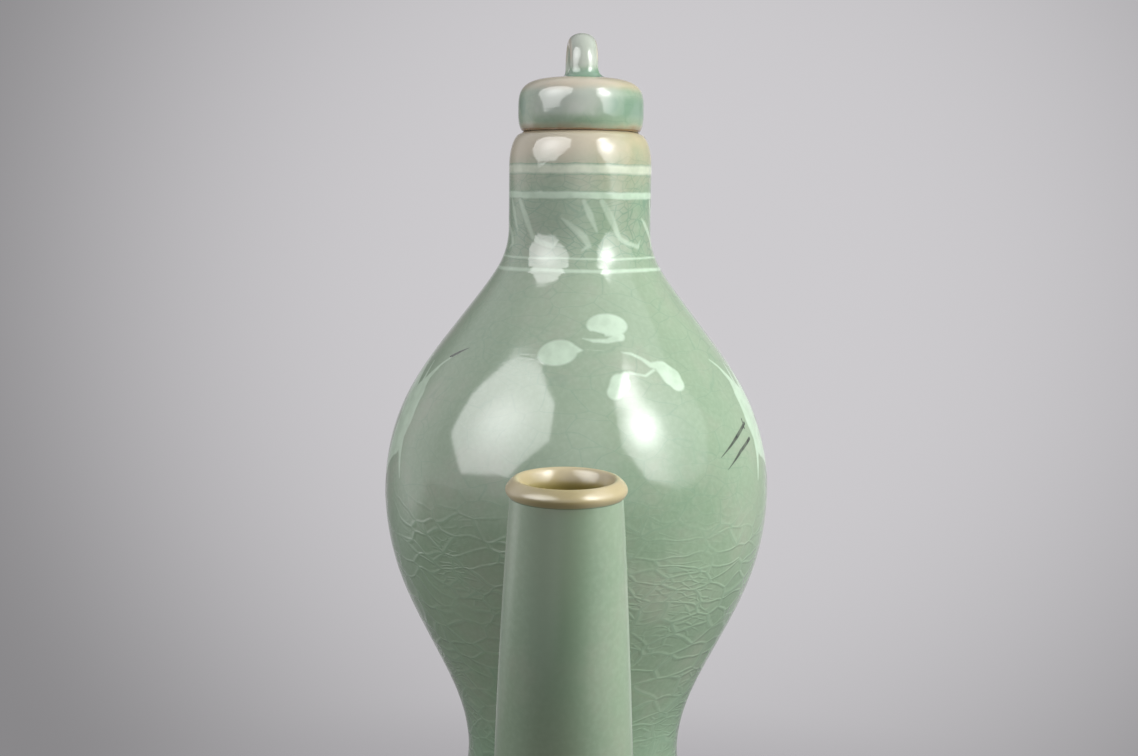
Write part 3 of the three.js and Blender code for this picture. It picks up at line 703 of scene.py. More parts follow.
under = np.linspace(0, math.pi / 2, 16)
lid_low = zip(LID_SEAT + (LID_RADIUS - LID_SEAT) * np.sin(under), RIM + LID_UNDER * (1 - np.cos(under)))
over = np.linspace(0, math.pi / 2, 40)[1:]
square = 2 / LID_CUSHION
lid_high = zip(LID_RADIUS * np.cos(over) ** square, RIM + LID_UNDER + LID_TOP * np.sin(over) ** square)
ceiling = RIM + LID_HOLLOW
lid_outline = [(0, ceiling), (FLANGE_INNER - 1, ceiling), (FLANGE_INNER, ceiling - 1), (FLANGE_INNER, RIM)]
lid_outline += [*lid_low, *lid_high]
lid_outline[-1] = (0, LID_CREST)
lid_mesh = turned(lid_outline, celadon, closed=False)
spots = points_of(lid_mesh) / MM
levels, radii = spots[:, 2], np.hypot(spots[:, 0], spots[:, 1])
top_edge = fade(levels, RIM + 8, RIM + 11.6) * fade(radii, 5, 9)
seat_edge = fade(levels, RIM + 3.4, RIM + 0.6)
seat_line = np.maximum(fade(levels, RIM + 0.9, RIM + 0.1), 0.5 * seat_edge)
belt = fade(levels, RIM + 2, RIM + 4.5) * fade(levels, RIM + 9.5, RIM + 7)
crown_pool = fade(radii, 7.5, 4.5) * fade(levels, RIM + 11, RIM + 13)
flame_side = fade(spots[:, 0], 2, 14)
lid_thin = np.maximum(0.8 * top_edge, 0.6 * seat_edge)
lid_pool = 0.8 * crown_pool + 0.8 * belt * flame_side
veil = 0.75 * fade(levels, RIM + 2, RIM + 6) * (1 - flame_side) * fade(spots[:, 0], -16, -7)
marked(lid_mesh, thin=lid_thin, gold=0.5 * flame_side, bare=seat_line)
marked(lid_mesh, pool=lid_pool, milky=veil, mottled=belt)
piece("lid_cap_glazed", lid_mesh, "lid", ["lid_cap"])

# %% Flange
flange_end = RIM - FLANGE_DEPTH
flange_outline = [(FLANGE_INNER, flange_end + 0.5), (FLANGE_INNER + 0.5, flange_end)]
flange_outline += [(FLANGE_OUTER - 0.8, flange_end), (FLANGE_OUTER, flange_end + 0.8)]
flange_outline += [(FLANGE_OUTER, RIM), (FLANGE_INNER, RIM)]
piece("lid_flange_bare", turned(flange_outline, bare_clay), "lid", ["lid_flange"], CLAY_SHARP)

# %% [markdown]
# ## Pulled and luted pieces
# The spout, the handle and the cord loops are pulled or rolled, then luted on with slip, which leaves a soft
# hollow seam at the root. Each is a row of rings along a smooth line. Where a ring's point would enter what
# carries it, the surface leaves the bar early and runs out along the carrier in a short curve.


# %% Lines and rings
STATIONS, RUN_STEPS = 300, 80


def smooth_line(points):
    """Even stations along a centripetal Catmull-Rom line through (y, z) points, in the X = 0 plane."""
    points = np.array(points, float)
    padded = np.vstack([2 * points[0] - points[1], points, 2 * points[-1] - points[-2]])
    runs = []
    for p0, p1, p2, p3 in zip(padded, padded[1:], padded[2:], padded[3:]):
        d0, d1, d2 = (math.sqrt(np.linalg.norm(b - a)) for a, b in ((p0, p1), (p1, p2), (p2, p3)))
        leave = ((p1 - p0) / d0 - (p2 - p0) / (d0 + d1) + (p2 - p1) / d1) * d1
        arrive = ((p2 - p1) / d1 - (p3 - p1) / (d1 + d2) + (p3 - p2) / d2) * d1
        s = np.linspace(0, 1, RUN_STEPS, endpoint=False)[:, None]
        cubic = (2 * p1 - 2 * p2 + leave + arrive) * s**3
        runs.append(p1 + leave * s + (3 * p2 - 3 * p1 - 2 * leave - arrive) * s**2 + cubic)
    dense = np.vstack([*runs, points[-1:]])
    travelled = np.concatenate([[0], np.cumsum(np.linalg.norm(np.diff(dense, axis=0), axis=1))])
    even = np.linspace(0, travelled[-1], STATIONS)
    line = np.column_stack([np.interp(even, travelled, dense[:, i]) for i in (0, 1)])
    return line, travelled[-1]


class Bar:
    """An oval bar along a line, given by its half width and half thickness at each share of the line."""

    def __init__(self, points, half_width, half_thickness, sides):
        self.line, self.length = smooth_line(points)
        self.shares = np.linspace(0, 1, len(self.line))
        heading = np.gradient(self.line, axis=0)
        self.heading = heading / np.linalg.norm(heading, axis=1, keepdims=True)
        self.half_width, self.half_thickness = half_width, half_thickness
        self.angles = np.linspace(0, 2 * math.pi, sides, endpoint=False)

    def middle(self, t):
        y, z = (np.interp(t, self.shares, self.line[:, i]) for i in (0, 1))
        return np.stack([np.zeros_like(y), y, z], axis=-1)

    def ring(self, t):
        """Points of the bar's skin, one for each angle, at one share or at a share for each angle."""
        t = np.broadcast_to(np.asarray(t, float), self.angles.shape)
        ty, tz = (np.interp(t, self.shares, self.heading[:, i]) for i in (0, 1))
        out = self.half_thickness(t) * np.sin(self.angles)
        offset = np.stack([self.half_width(t) * np.cos(self.angles), -tz * out, ty * out], axis=-1)
        return self.middle(t) + offset

    def rings(self, start, end, count):
        """Rings from one share to another, without the first."""
        return [self.ring(start + (end - start) * s) for s in np.linspace(0, 1, count)[1:]]


print("bar helper ready")


# %% Roots
PROBE, SETTLE_STEPS, SEARCH_STEPS, ROOT_RINGS, ROOT_SUNK = 0.05, 6, 240, 10, 0.5


def slope_of(gap, spots):
    """The direction in which the distance to a carrier grows, by small steps along the axes."""
    steps = np.eye(3) * PROBE
    grads = np.stack([gap(spots + step) - gap(spots - step) for step in steps], axis=-1)
    return grads / np.linalg.norm(grads, axis=-1, keepdims=True)


def settled(spots, gap):
    """Points moved onto a carrier's skin."""
    for _ in range(SETTLE_STEPS):
        spots = spots - gap(spots)[..., None] * slope_of(gap, spots)
    return spots


def root_share(bar, gap, from_start):
    """For each angle, the share of the line at which the bar's skin meets the carrier."""
    shares = np.linspace(0 if from_start else 1, 0.5, SEARCH_STEPS)
    gaps = np.stack([gap(bar.ring(t)) for t in shares])
    last = len(shares) - 1 - np.argmax(gaps[::-1] < 0, axis=0)
    last = np.where((gaps < 0).any(axis=0), last, 0)
    after = np.minimum(last + 1, len(shares) - 1)
    k = np.arange(len(last))
    low, high = gaps[last, k], gaps[after, k]
    part = np.where(high > low, -low / np.maximum(high - low, 1e-9), 0)
    return shares[last] + np.clip(part, 0, 1) * (shares[after] - shares[last])


def root_rows(bar, gap, from_start, rise, spread):
    """Rings from just under the carrier's skin, along it and up the seam, and the shares where they end."""
    met = root_share(bar, gap, from_start)
    top = met + (rise if from_start else -rise) / bar.length
    contact, high = bar.ring(met), bar.ring(top)
    away = contact - bar.middle(met)
    away /= np.linalg.norm(away, axis=-1, keepdims=True)
    low = settled(contact + spread * away, gap)
    rows = [low - ROOT_SUNK * slope_of(gap, low)]
    for s in np.linspace(0, 1, ROOT_RINGS):
        rows.append(low * (1 - s) ** 2 + contact * 2 * s * (1 - s) + high * s**2)
    return rows, top


def luted_rows(bar, gap, rise, spread, count):
    """Rings of a bar that is luted to its carrier at both ends."""
    head_rows, head = root_rows(bar, gap, True, rise, spread)
    tail_rows, tail = root_rows(bar, gap, False, rise, spread)
    return head_rows + bar.rings(head, tail, count)[:-1] + tail_rows[::-1]


def ring_faces(rings, sides, closed=False):
    """Faces between neighbouring rings of points, and between the last and the first where closed."""
    faces = []
    for i in range(rings if closed else rings - 1):
        j = (i + 1) % rings
        for k in range(sides):
            n = (k + 1) % sides
            faces.append((i * sides + k, i * sides + n, j * sides + n, j * sides + k))
    return faces


def solid(points, faces, finish):
    """A closed mesh of points in millimetres, with its faces turned outwards."""
    mesh = bpy.data.meshes.new("solid")
    mesh.from_pydata((np.reshape(points, (-1, 3)) * MM).tolist(), [], faces)
    mesh.materials.append(finish)
    return facing_out(mesh)


def skinned(rows, finish):
    """A closed mesh from rings of equal length, with its first and last ring filled."""
    count, sides = len(rows), len(rows[0])
    ends = [tuple(range(sides))[::-1], tuple((count - 1) * sides + k for k in range(sides))]
    return solid(rows, ring_faces(count, sides) + ends, finish)


def steepness(level):
    """How much the wall's radius grows for each millimetre up."""
    return (body_radius(level + PROBE) - body_radius(level - PROBE)) / (2 * PROBE)


def body_gap(spots):
    """Distance from the ewer's body, negative inside it."""
    level = np.clip(spots[..., 2], FOOT_HEIGHT, RIM - 0.1)
    across = np.hypot(spots[..., 0], spots[..., 1]) - body_radius(level)
    return across / np.sqrt(1 + steepness(level) ** 2)


print("root helpers ready")

# %% Spout
ROOT_POOL = 0.6
SPOUT_REACH, SPOUT_TIP, SPOUT_ROOT, SPOUT_WALL, LIP_LENGTH = 109, 10.3, 18, 2.6, 3.2
SPOUT_TAPER, LIP_SWELL, LIP_ROUND, BORE_FLARE = 0.8, 0.9, 0.4, 1.2
SPOUT_SIDES, BORE_END = 64, 0.24
root_level, spout_top = BELLY + 32, BULB + 23.3
root_out = float(body_radius(root_level))
stem, climb = SPOUT_REACH - root_out, spout_top - root_level
spout_points = [
    (-root_out + 0.45 * stem, root_level - 0.12 * climb),
    (-root_out, root_level),
    (-root_out - 0.58 * stem, root_level + 0.3 * climb),
    (-root_out - 0.97 * stem, root_level + 0.66 * climb),
    (-SPOUT_REACH, spout_top),
]
spout_length = smooth_line(spout_points)[1]


def spout_taper(t):
    return SPOUT_TIP + (SPOUT_ROOT - SPOUT_TIP) * np.maximum(1 - t, 0) ** SPOUT_TAPER


def from_tip(t):
    return np.clip((1 - t) * spout_length / LIP_LENGTH, 0, 1)


def spout_outer(t):
    return spout_taper(t) + LIP_SWELL * np.sin(math.pi * from_tip(t))


def spout_bore(t):
    return spout_taper(t) - SPOUT_WALL + BORE_FLARE * (1 - from_tip(t)) ** 2


spout_skin = Bar(spout_points, spout_outer, spout_outer, SPOUT_SIDES)
spout_hole = Bar(spout_points, spout_bore, spout_bore, SPOUT_SIDES)
rows, top = root_rows(spout_skin, body_gap, True, rise=9, spread=5)
lip_start = 1 - LIP_LENGTH / spout_length
rows += spout_skin.rings(top, lip_start, 70)
rows += spout_skin.rings(lip_start, 1.0, 16)
rounding = np.append([0], spout_skin.heading[-1]) * LIP_ROUND
lip_edge, bore_edge = spout_skin.ring(1.0), spout_hole.ring(1.0)
for s in (0.25, 0.5, 0.75):
    rows.append(lip_edge * (1 - s) + bore_edge * s + rounding * math.sin(math.pi * s))
outer_rows = len(rows)
rows += [bore_edge, *spout_hole.rings(1.0, lip_start, 8)]
rows += spout_hole.rings(lip_start, BORE_END, 40)
spout_mesh = skinned(rows, celadon)
row_of_point = np.repeat(np.arange(len(rows)), SPOUT_SIDES)
on_outside = row_of_point < outer_rows
spots = points_of(spout_mesh) / MM
drop = spout_top - spots[:, 2]
on_lip = fade(row_of_point, outer_rows - 20, outer_rows - 16)
# Painted shade: the spout's front, which faces forward, is darkened with olive and deep green, more towards
# the lip
front = fade(np.abs(spots[:, 0] + 1.5), 8, 2) * fade(spots[:, 1], -108, -114)
spout_thin = np.where(on_outside, on_lip, fade(drop, 5, 1))
front_shade_olive = front * (0.13 + 0.09 * fade(drop, 36, 12) + 0.5 * on_lip)
spout_olive_and_front_shade = np.where(on_outside, front_shade_olive, fade(drop, 0, 3.5))
# Deeper green at the root where slip gathers in the seam, and painted shade on the front towards the lip
spout_pool_and_front_shade = np.where(row_of_point < ROOT_RINGS, ROOT_POOL, front * fade(drop, 64, 18))
marked(spout_mesh, thin=spout_thin, gold=np.ones(len(spots)), olive=spout_olive_and_front_shade)
marked(spout_mesh, pool=spout_pool_and_front_shade, calm=0.7 * fade(drop, 90, 50))
piece("spout_glazed", spout_mesh, "vessel", ["spout"])

# %% Handle
HANDLE_REACH, HANDLE_WIDTH, HANDLE_THICKNESS, HANDLE_SIDES = 121.4, 17, 11, 48
HANDLE_CREST, HANDLE_FLARE = 22, 0.35
handle_top, handle_root = BULB + 7.6, BELLY + 32
top_in, root_in = float(body_radius(handle_top)) - WALL, float(body_radius(handle_root)) - WALL
reach, crest = HANDLE_REACH - HANDLE_THICKNESS / 2, handle_top + HANDLE_CREST - HANDLE_THICKNESS / 2
middle = (handle_top + handle_root) / 2
handle_points = [
    (top_in, handle_top),
    (0.62 * top_in + 0.38 * reach, crest),
    (0.18 * top_in + 0.82 * reach, 0.78 * crest + 0.22 * middle),
    (reach, middle + 12),
    (0.3 * root_in + 0.7 * reach, 0.35 * middle + 0.65 * handle_root),
    (root_in, handle_root - 4),
]


def handle_flare(t):
    """Widens the bar over the first and the last eighth of the line."""
    return 1 + HANDLE_FLARE * np.maximum(np.maximum(1 - 8 * t, 8 * t - 7), 0)


handle_bar = Bar(
    handle_points,
    lambda t: HANDLE_WIDTH / 2 * handle_flare(t),
    lambda t: HANDLE_THICKNESS / 2 * handle_flare(t),
    HANDLE_SIDES,
)
rows = luted_rows(handle_bar, body_gap, rise=6, spread=3.5, count=130)
handle_mesh = skinned(rows, celadon)
row_of_point = np.repeat(np.arange(len(rows)), HANDLE_SIDES)
from_root = np.minimum(row_of_point, len(rows) - 1 - row_of_point)
handle_pool = np.where(from_root < ROOT_RINGS, ROOT_POOL, 0)
ridge = np.tile(fade(np.abs(np.cos(handle_bar.angles)), 0.93, 1.0), len(rows))
marked(handle_mesh, pool=handle_pool, thin=0.45 * ridge)
piece("handle_glazed", handle_mesh, "vessel", ["handle"])


# %% Cord loops
def handle_gap(spots):
    """Distance from the handle, negative inside it."""
    flat = spots.reshape(-1, 3)
    nearest = np.argmin(np.linalg.norm(flat[:, None, 1:] - handle_bar.line[None], axis=2), axis=1)
    off = flat[:, 1:] - handle_bar.line[nearest]
    heading = handle_bar.heading[nearest]
    outward = -heading[:, 1] * off[:, 0] + heading[:, 0] * off[:, 1]
    oval = np.hypot(flat[:, 0] / (HANDLE_WIDTH / 2), outward / (HANDLE_THICKNESS / 2))
    return ((oval - 1) * HANDLE_THICKNESS / 2).reshape(spots.shape[:-1])


def lid_gap(spots):
    """Distance from the lid's top, negative inside it."""
    share = np.clip(np.hypot(spots[..., 0], spots[..., 1]) / LID_RADIUS, 0, 0.99)
    return spots[..., 2] - (RIM + LID_UNDER + LID_TOP * (1 - share**LID_CUSHION) ** (1 / LID_CUSHION))


LOOP_WIDTH, LOOP_THICKNESS, LOOP_SPAN, LOOP_SUNK, LOOP_SIDES = 7, 4.8, 12, 4, 40
HANDLE_LOOP_HEIGHT, LID_LOOP_HEIGHT, LID_LOOP_TURN = 11, 11.1, math.radians(7)


def cord_loop(seat, height, gap, middle_y=0.0):
    """A strap that arches over a cord hole, luted to its carrier at both ends."""
    radius = LOOP_SPAN / 2
    spring = seat + height - LOOP_THICKNESS / 2 - radius
    arch = np.linspace(0, math.pi, 11)
    points = [(middle_y + radius * math.cos(a), spring + radius * math.sin(a)) for a in arch]
    points = [(middle_y + radius, seat - LOOP_SUNK), *points, (middle_y - radius, seat - LOOP_SUNK)]
    strap = Bar(points, lambda t: LOOP_WIDTH / 2, lambda t: LOOP_THICKNESS / 2, LOOP_SIDES)
    rows = luted_rows(strap, gap, rise=2.6, spread=2.4, count=60)
    mesh = skinned(rows, celadon)
    lift = points_of(mesh)[:, 2] / MM - seat
    edge = np.tile(fade(np.abs(np.cos(strap.angles)), 0.7, 1.0), len(rows))
    milky = 0.8 * fade(lift, 1.2, 3)
    return marked(mesh, milky=milky, pool=0.9 * fade(lift, 2.4, 0.8), thin=0.8 * edge * fade(lift, 2, 5))


crown_at = int(np.argmax(handle_bar.line[:, 1]))
crown_y, crown_z = handle_bar.line[crown_at]
handle_loop_mesh = cord_loop(crown_z + HANDLE_THICKNESS / 2, HANDLE_LOOP_HEIGHT, handle_gap, crown_y)
piece("handle_loop_glazed", handle_loop_mesh, "vessel", ["handle_loop"])
lid_loop_mesh = cord_loop(LID_CREST, LID_LOOP_HEIGHT, lid_gap)
lid_loop_mesh.transform(Matrix.Rotation(LID_LOOP_TURN, 4, "Z"))
piece("lid_loop_glazed", lid_loop_mesh, "lid", ["lid_loop"])

# %% [markdown]
# ## Slip inlay
# The potter cuts a line or a figure into the leather-hard wall, fills it with white or black slip, scrapes
# it level and glazes over it. So an inlay is a thin sheet in the wall's own curve, with a faded edge. A
# distance function gives each figure's outline, as a drawing of ovals and tapering brush strokes, and a fine
# grid is trimmed where the distance is zero.


# %% Outlines
def stroke(points):
    """Distance to a brush stroke through (x, y, half width) points."""

    def distance(x, y):
        nearest = np.full(np.shape(x), np.inf)
        for (x0, y0, w0), (x1, y1, w1) in zip(points, points[1:]):
            dx, dy = x1 - x0, y1 - y0
            t = np.clip(((x - x0) * dx + (y - y0) * dy) / (dx * dx + dy * dy), 0, 1)
            gap = np.hypot(x - x0 - t * dx, y - y0 - t * dy) - (w0 + t * (w1 - w0))
            nearest = np.minimum(nearest, gap)
        return nearest

    return distance


def oval(cx, cy, wide, tall):
    def distance(x, y):
        u, v = (x - cx) / wide, (y - cy) / tall
        size = np.hypot(u, v)
        return size * (size - 1) / np.maximum(np.hypot(u / wide, v / tall), 1e-6)

    return distance


def joined(*shapes):
    return lambda x, y: np.minimum.reduce([shape(x, y) for shape in shapes])


def strokes(*lines):
    return joined(*[stroke(line) for line in lines])


def without(shape, cut):
    return lambda x, y: np.maximum(shape(x, y), -cut(x, y))


def mirrored(shape):
    return lambda x, y: shape(-x, y)


print("outline helpers ready")

# %% Sheets
INLAY_LIFT, INLAY_DEPTH, INLAY_ROUND, EDGE_SHARE = 0.02, 0.5, 0.4, 0.3


def trimmed_grid(distance, reach, cell):
    """Points, depths inside the outline and faces of a flat grid, trimmed along the outline."""
    x_low, x_high, y_low, y_high = reach
    xs = np.linspace(x_low, x_high, int((x_high - x_low) / cell) + 1)
    ys = np.linspace(y_low, y_high, int((y_high - y_low) / cell) + 1)
    grid_x, grid_y = np.meshgrid(xs, ys, indexing="ij")
    depth = -distance(grid_x, grid_y)
    points, depths, faces, known = [], [], [], {}

    def at(key, x, y, d):
        if key not in known:
            known[key] = len(points)
            points.append((x, y))
            depths.append(d)
        return known[key]

    def crossing(a, b):
        a, b = min(a, b), max(a, b)
        s = depth[a] / (depth[a] - depth[b])
        x = grid_x[a] + s * (grid_x[b] - grid_x[a])
        return at((a, b), x, grid_y[a] + s * (grid_y[b] - grid_y[a]), 0.0)

    for i, j in np.argwhere(depth[:-1, :-1] > -2 * cell):
        ring = [(i, j), (i + 1, j), (i + 1, j + 1), (i, j + 1)]
        face = []
        for a, b in zip(ring, ring[1:] + ring[:1]):
            if depth[a] > 0:
                face.append(at(a, grid_x[a], grid_y[a], depth[a]))
            if (depth[a] > 0) != (depth[b] > 0):
                face.append(crossing(a, b))
        if len(face) > 2:
            faces.append(face)
    return np.array(points), np.array(depths), faces


def inlaid(distance, reach, cell, place, finish):
    """A closed sheet, set into the wall by place(x, y, lift), that stores its depth inside the outline."""
    flat, depths, faces = trimmed_grid(distance, reach, cell)
    lift = INLAY_LIFT * np.clip(depths / INLAY_ROUND, EDGE_SHARE, 1)
    top, bed = place(flat[:, 0], flat[:, 1], lift), place(flat[:, 0], flat[:, 1], -INLAY_DEPTH)
    count = len(flat)
    used = {}
    for face in faces:
        for a, b in zip(face, face[1:] + face[:1]):
            used[(a, b)] = True
    sides = [(b, a, a + count, b + count) for a, b in used if (b, a) not in used]
    beds = [[k + count for k in reversed(face)] for face in faces]
    mesh = solid([top, bed], faces + beds + sides, finish)
    return marked(mesh, edge=np.concatenate([depths, depths * 0]))


print("sheet helpers ready")


# %% Places on the wall
PRESS_STEPS = 8


def wall_normal(spots):
    radius = np.hypot(spots[..., 0], spots[..., 1])
    parts = [spots[..., 0] / radius, spots[..., 1] / radius, -steepness(spots[..., 2])]
    normal = np.stack(parts, axis=-1)
    return normal / np.linalg.norm(normal, axis=-1, keepdims=True)


def lifted(spots, lift):
    """Points moved out from the wall by one lift, or by a lift for each point."""
    return spots + np.reshape(lift, (-1, 1)) * wall_normal(spots)


def on_wall(angle, level):
    """Points of the wall at angles from the front and at levels."""
    radius = body_radius(level)
    return np.stack([radius * np.sin(angle), -radius * np.cos(angle), level], axis=-1)


def tangent_place(azimuth_degrees, level):
    """Places a drawing that touches the wall at its middle and is pressed straight onto it."""
    a = math.radians(azimuth_degrees)
    radial = np.array([math.sin(a), -math.cos(a), 0])
    across = np.array([math.cos(a), math.sin(a), 0])
    seat = radial * float(body_radius(level)) + np.array([0, 0, level])
    normal = wall_normal(seat)
    upward = np.cross(normal, across)

    def place(x, y, lift):
        spots = seat + np.multiply.outer(x, across) + np.multiply.outer(y, upward)
        for _ in range(PRESS_STEPS):
            facing = wall_normal(spots) @ normal
            spots = spots - (body_gap(spots) / facing)[:, None] * normal
        return lifted(spots, lift)

    return place


def wrapped_place(azimuth_degrees, level):
    """Places a drawing that is wrapped round the neck: x is the way round and y the height."""

    def place(x, y, lift):
        return lifted(on_wall(math.radians(azimuth_degrees) + x / NECK_RADIUS, level + y), lift)

    return place


def slip_piece(name, mesh, *nodes):
    piece(name, mesh, "vessel", nodes)


print("inlay helpers ready")

# %% [markdown]
# ### Bands
# The bands round the neck are cut on the turning wheel with a hand-held point, so they run true but their
# edges waver. Each is a ring of narrow strips that follows the wall.


# %% Bands
BAND_STEPS, WAVER = 360, 0.16
BAND_WAVES = ((0.5, 5), (0.3, 13), (0.2, 29))


def waver(angles, seed):
    """How far an edge strays from its level, as waves of (share, number round the ewer)."""
    waves = enumerate(BAND_WAVES, 1)
    return WAVER * sum(share * np.sin(count * angles + n * seed) for n, (share, count) in waves)


def band(level, height, finish, seed):
    """A ring of slip with wavering edges, its face hardly proud of the wall and its bed under the skin."""
    angles = np.linspace(0, 2 * math.pi, BAND_STEPS, endpoint=False)
    low = level - height / 2 + waver(angles, seed)
    high = level + height / 2 + waver(angles, seed + 1)
    face = [(s, INLAY_LIFT * min(4 * min(s, 1 - s), 1)) for s in np.linspace(0, 1, 7)]
    rows, edges = [], []
    for s, lift in [(0.0, -INLAY_DEPTH), *face, (1.0, -INLAY_DEPTH)]:
        rows.append(lifted(on_wall(angles, low + s * (high - low)), lift))
        edges.append(np.full(BAND_STEPS, min(s, 1 - s) * height))
    mesh = solid(rows, ring_faces(len(rows), BAND_STEPS, closed=True), finish)
    levels = np.concatenate(rows)[:, 2]
    return marked(mesh, edge=np.concatenate(edges), thin=fade(levels, RIM - 11, RIM - 2))


RINGS = [
    ("neck_band_upper", 9.6, 2.9, band_slip),
    ("neck_band_lower", 16, 2.2, line_slip),
    ("shoulder_line_upper", 31.4, 1.0, line_slip),
    ("shoulder_line_lower", 34.3, 1.4, line_slip),
]
for number, (name, below, height, finish) in enumerate(RINGS):
    slip_piece(name + "_slip", band(RIM - below, height, finish, number), name)

# %% [markdown]
# ### Cloud and cranes
# A ribbon cloud floats at the front and a crane flies on each flank. The cloud is four lobes on thin stems,
# the upper one curled. A crane is white, with black strokes for feather tips, legs or a beak, and the two
# differ because they are drawn by hand.

# %% Cloud
FIGURE_CELL, INK_CELL = 0.35, 0.2
CLOUD_AZIMUTH, CLOUD_BELOW = 13, 53.3
top_lobe, left_lobe = oval(0.7, 8.4, 5.4, 3.6), oval(-11.8, 1.8, 4.9, 3.9)
right_lobe = stroke([(13.2, -2.6, 2.3), (15.2, -4.6, 3), (16.4, -6.2, 2.4)])
low_lobe = stroke([(3.4, -5.2, 1.3), (1.9, -7.4, 2.8), (0.2, -10, 2.2)])
cloud_stems = strokes(
    [(-5.6, 4.9, 0.45), (-3.2, 4.1, 0.85), (0.2, 3.9, 1), (3.4, 5.2, 1.6)],
    [(-9, 2.2, 2.4), (-5.9, 1.6, 0.4)],
    [(-5, 1.7, 0.3), (-1, 1.2, 0.35)],
    [(3.2, 0.9, 0.45), (5.6, 0.5, 0.7), (8.2, -0.8, 0.8), (10.2, -2.2, 1.1), (12.4, -2, 1.6)],
    [(10.8, -3.4, 0.7), (8.4, -5.3, 0.65), (6.2, -5, 0.6), (4.4, -4.6, 0.8)],
)
curl = stroke([(-6, 6.2, 0.4), (-3, 6, 0.4), (-0.8, 5.4, 0.2)])
cloud_drawing = without(joined(top_lobe, left_lobe, right_lobe, low_lobe, cloud_stems), curl)
CLOUD_REACH = (-20, 22, -13, 13)
cloud_place = tangent_place(CLOUD_AZIMUTH, RIM - CLOUD_BELOW)
cloud_mesh = inlaid(cloud_drawing, CLOUD_REACH, FIGURE_CELL, cloud_place, white_slip)
slip_piece("cloud_slip", cloud_mesh, "cloud_inlay")

# %% Cranes
crane_drawing = strokes(
    [(-10.3, 19, 0.6), (-8, 16.5, 0.8), (-5.8, 12.5, 1.5), (-4.6, 7.5, 4.2)],
    [(-4.6, 7.5, 4.2), (-3.6, 1.5, 5.8), (-2.6, -4, 5.4), (1.5, -10, 2.4), (4, -15, 0.7)],
    [(-2, 16.5, 0.6), (-3, 12.5, 0.9), (-4, 8, 1.4)],
    [(0, 4, 4), (3, 11, 3), (5, 17, 1.6), (7, 21.5, 0.8)],
    [(-6, -4, 2.4), (-8.2, -8, 1.1), (-10.3, -13, 0.6)],
)
front_feathers = strokes(
    [(-10.9, 1.5, 0.5), (-17, -0.3, 0.55), (-25.4, -3, 0.15)],
    [(-10.9, -2.5, 0.5), (-17.5, -4, 0.5), (-24.2, -6.5, 0.15)],
    [(-11.6, 2.7, 0.35), (-12, 0.4, 0.3)],
)
far_feathers_and_legs = strokes(
    [(6.6, 20.8, 0.5), (8.9, 23, 0.4), (12, 24.6, 0.15)],
    [(5.4, 17.8, 0.5), (8.6, 19.4, 0.4), (12, 20, 0.15)],
    [(3.6, -14, 0.45), (6, -19.5, 0.4), (8.6, -24.5, 0.15)],
    [(2.8, -13.6, 0.4), (4.2, -19.4, 0.35), (5.4, -25, 0.12)],
)
beak_and_marks = strokes(
    [(-10, 19.2, 0.5), (-12.2, 21.1, 0.4), (-14.5, 23, 0.15)],
    [(3.6, 5, 0.3), (5.2, 4.6, 0.25)],
    [(-0.9, -1.6, 0.3), (0.7, -2, 0.25)],
)
CRANE_REACH = (-27, 17, -28, 26)
RIGHT_AZIMUTH, LEFT_AZIMUTH, CRANE_BELOW = 79, -73, 72.3
right_place = tangent_place(RIGHT_AZIMUTH, RIM - CRANE_BELOW)
left_place = tangent_place(LEFT_AZIMUTH, RIM - CRANE_BELOW)
left_reach = (-CRANE_REACH[1], -CRANE_REACH[0], *CRANE_REACH[2:])
right_ink = joined(front_feathers, far_feathers_and_legs)
left_ink = mirrored(joined(beak_and_marks, far_feathers_and_legs))
cranes = [
    ("crane_inlay_right", crane_drawing, right_ink, CRANE_REACH, right_place),
    ("crane_inlay_left", mirrored(crane_drawing), left_ink, left_reach, left_place),
]
for name, white, ink, reach, place in cranes:
    slip_piece(name + "_slip", inlaid(white, reach, FIGURE_CELL, place, white_slip), name)
    slip_piece(name + "_ink", inlaid(ink, reach, INK_CELL, place, black_slip))

# %% [markdown]
# ### Repeats round the ewer
# The petals on the neck and the figures on the lower bulb come again at even steps. One is drawn, and a
# Geometry Nodes tree sets copies of it round the axis.

# %% Repeat tree
ring_tree, graph, given = make_tree("repeats", "Count")
starts = graph.add("GeometryNodePoints", {"Count": given["Count"]})
number = graph.add("GeometryNodeInputIndex")
step = graph.math("DIVIDE", 2 * math.pi, given["Count"])
turn_by = graph.add("ShaderNodeCombineXYZ", {"Z": graph.times(number, step)})
spin = graph.add("FunctionNodeEulerToRotation", {"Euler": turn_by})
copy_inputs = {"Points": starts, "Instance": given["Geometry"], "Rotation": spin}
copies = graph.add("GeometryNodeInstanceOnPoints", copy_inputs)
end_tree(graph, copies, given["Finish"])


def repeated(mesh, count):
    """Copies of a mesh at even steps round the axis, in its own finish."""
    return grown(mesh, ring_tree, Count=count, Finish=mesh.materials[0])


print("repeat tree has", len(ring_tree.nodes), "nodes")

# %% Neck petals
ARC = math.radians(1) * NECK_RADIUS


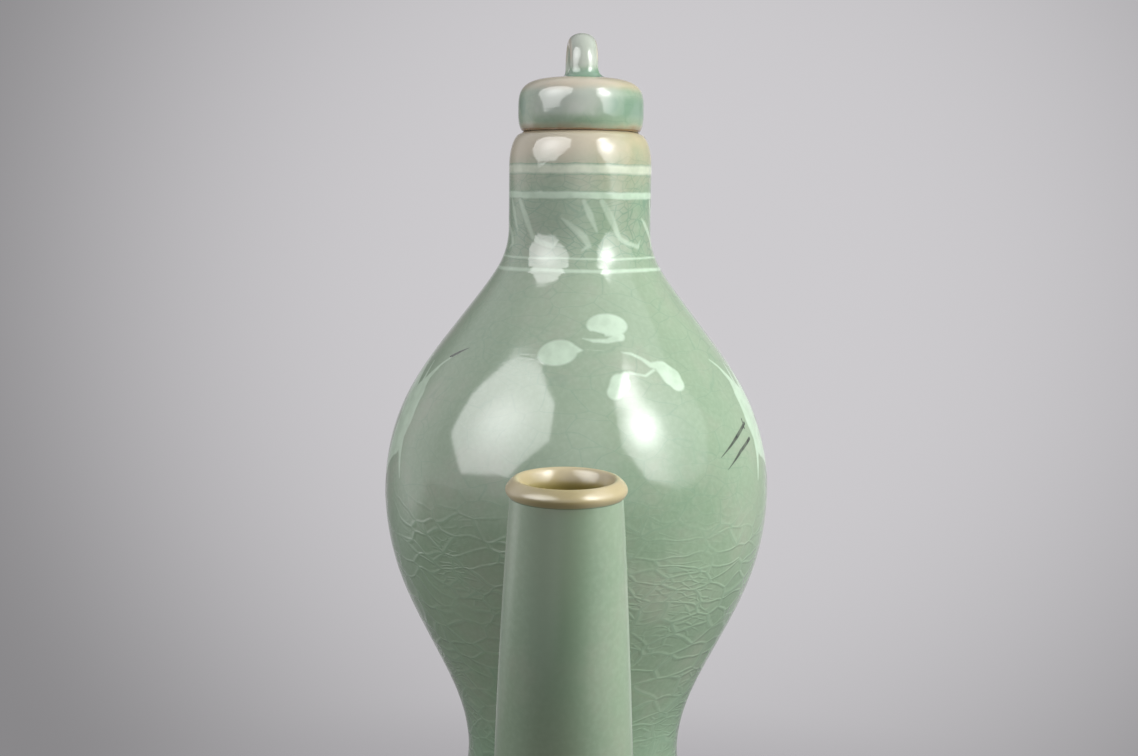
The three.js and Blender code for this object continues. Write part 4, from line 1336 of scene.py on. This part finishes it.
def neck_stroke(points):
    """A stroke through (degrees round the neck, millimetres below the rim, half width) points."""
    return stroke([(degrees * ARC, -below, half) for degrees, below, half in points])


petal = joined(
    neck_stroke([(4, 17.4, 0.9), (8.9, 20.7, 1.2), (14.6, 24.8, 0.6)]),
    neck_stroke([(18.2, 17.4, 1.0), (26, 21.6, 1.3), (34.1, 26.5, 0.9)]),
    neck_stroke([(34.1, 26.5, 0.9), (38.8, 27.3, 1.0), (52.3, 28.6, 0.9), (57, 27, 0.4)]),
    neck_stroke([(-13, 21.6, 0.5), (-7.2, 23, 1.0), (4.5, 26.1, 1.2), (8.3, 28.2, 1.0), (3, 29.4, 0.5)]),
)
PETAL_REACH, PETAL_CELL, PETALS = (-16 * ARC, 60 * ARC, -30.4, -16.6), 0.25, 5
petal_mesh = inlaid(petal, PETAL_REACH, PETAL_CELL, wrapped_place(0, RIM), thin_slip)
slip_piece("neck_petals_slip", repeated(petal_mesh, PETALS))

# %% Figures on the lower bulb
LOW_CELL, LOW_INK_CELL, BACK_CELL = 0.5, 0.3, 0.4
LOW_CRANES, LOW_CLOUDS = 4, 2
low_place = tangent_place(45, BELLY + 6)
low_crane = inlaid(crane_drawing, CRANE_REACH, LOW_CELL, low_place, white_slip)
slip_piece("lower_cranes_slip", repeated(low_crane, LOW_CRANES))
whole_ink = joined(front_feathers, far_feathers_and_legs, beak_and_marks)
low_ink = inlaid(whole_ink, CRANE_REACH, LOW_INK_CELL, low_place, black_slip)
slip_piece("lower_cranes_ink", repeated(low_ink, LOW_CRANES))
low_cloud = inlaid(cloud_drawing, CLOUD_REACH, LOW_CELL, tangent_place(90, BELLY + 14), white_slip)
slip_piece("lower_clouds_slip", repeated(low_cloud, LOW_CLOUDS))
back_cloud = inlaid(cloud_drawing, CLOUD_REACH, BACK_CELL, tangent_place(140, RIM - 60), white_slip)
slip_piece("back_cloud_slip", back_cloud)
for number, level in enumerate((15.5, 18.5)):
    slip_piece(f"foot_line_{number + 1}_slip", band(level, 1.2, white_slip, 7 + number))
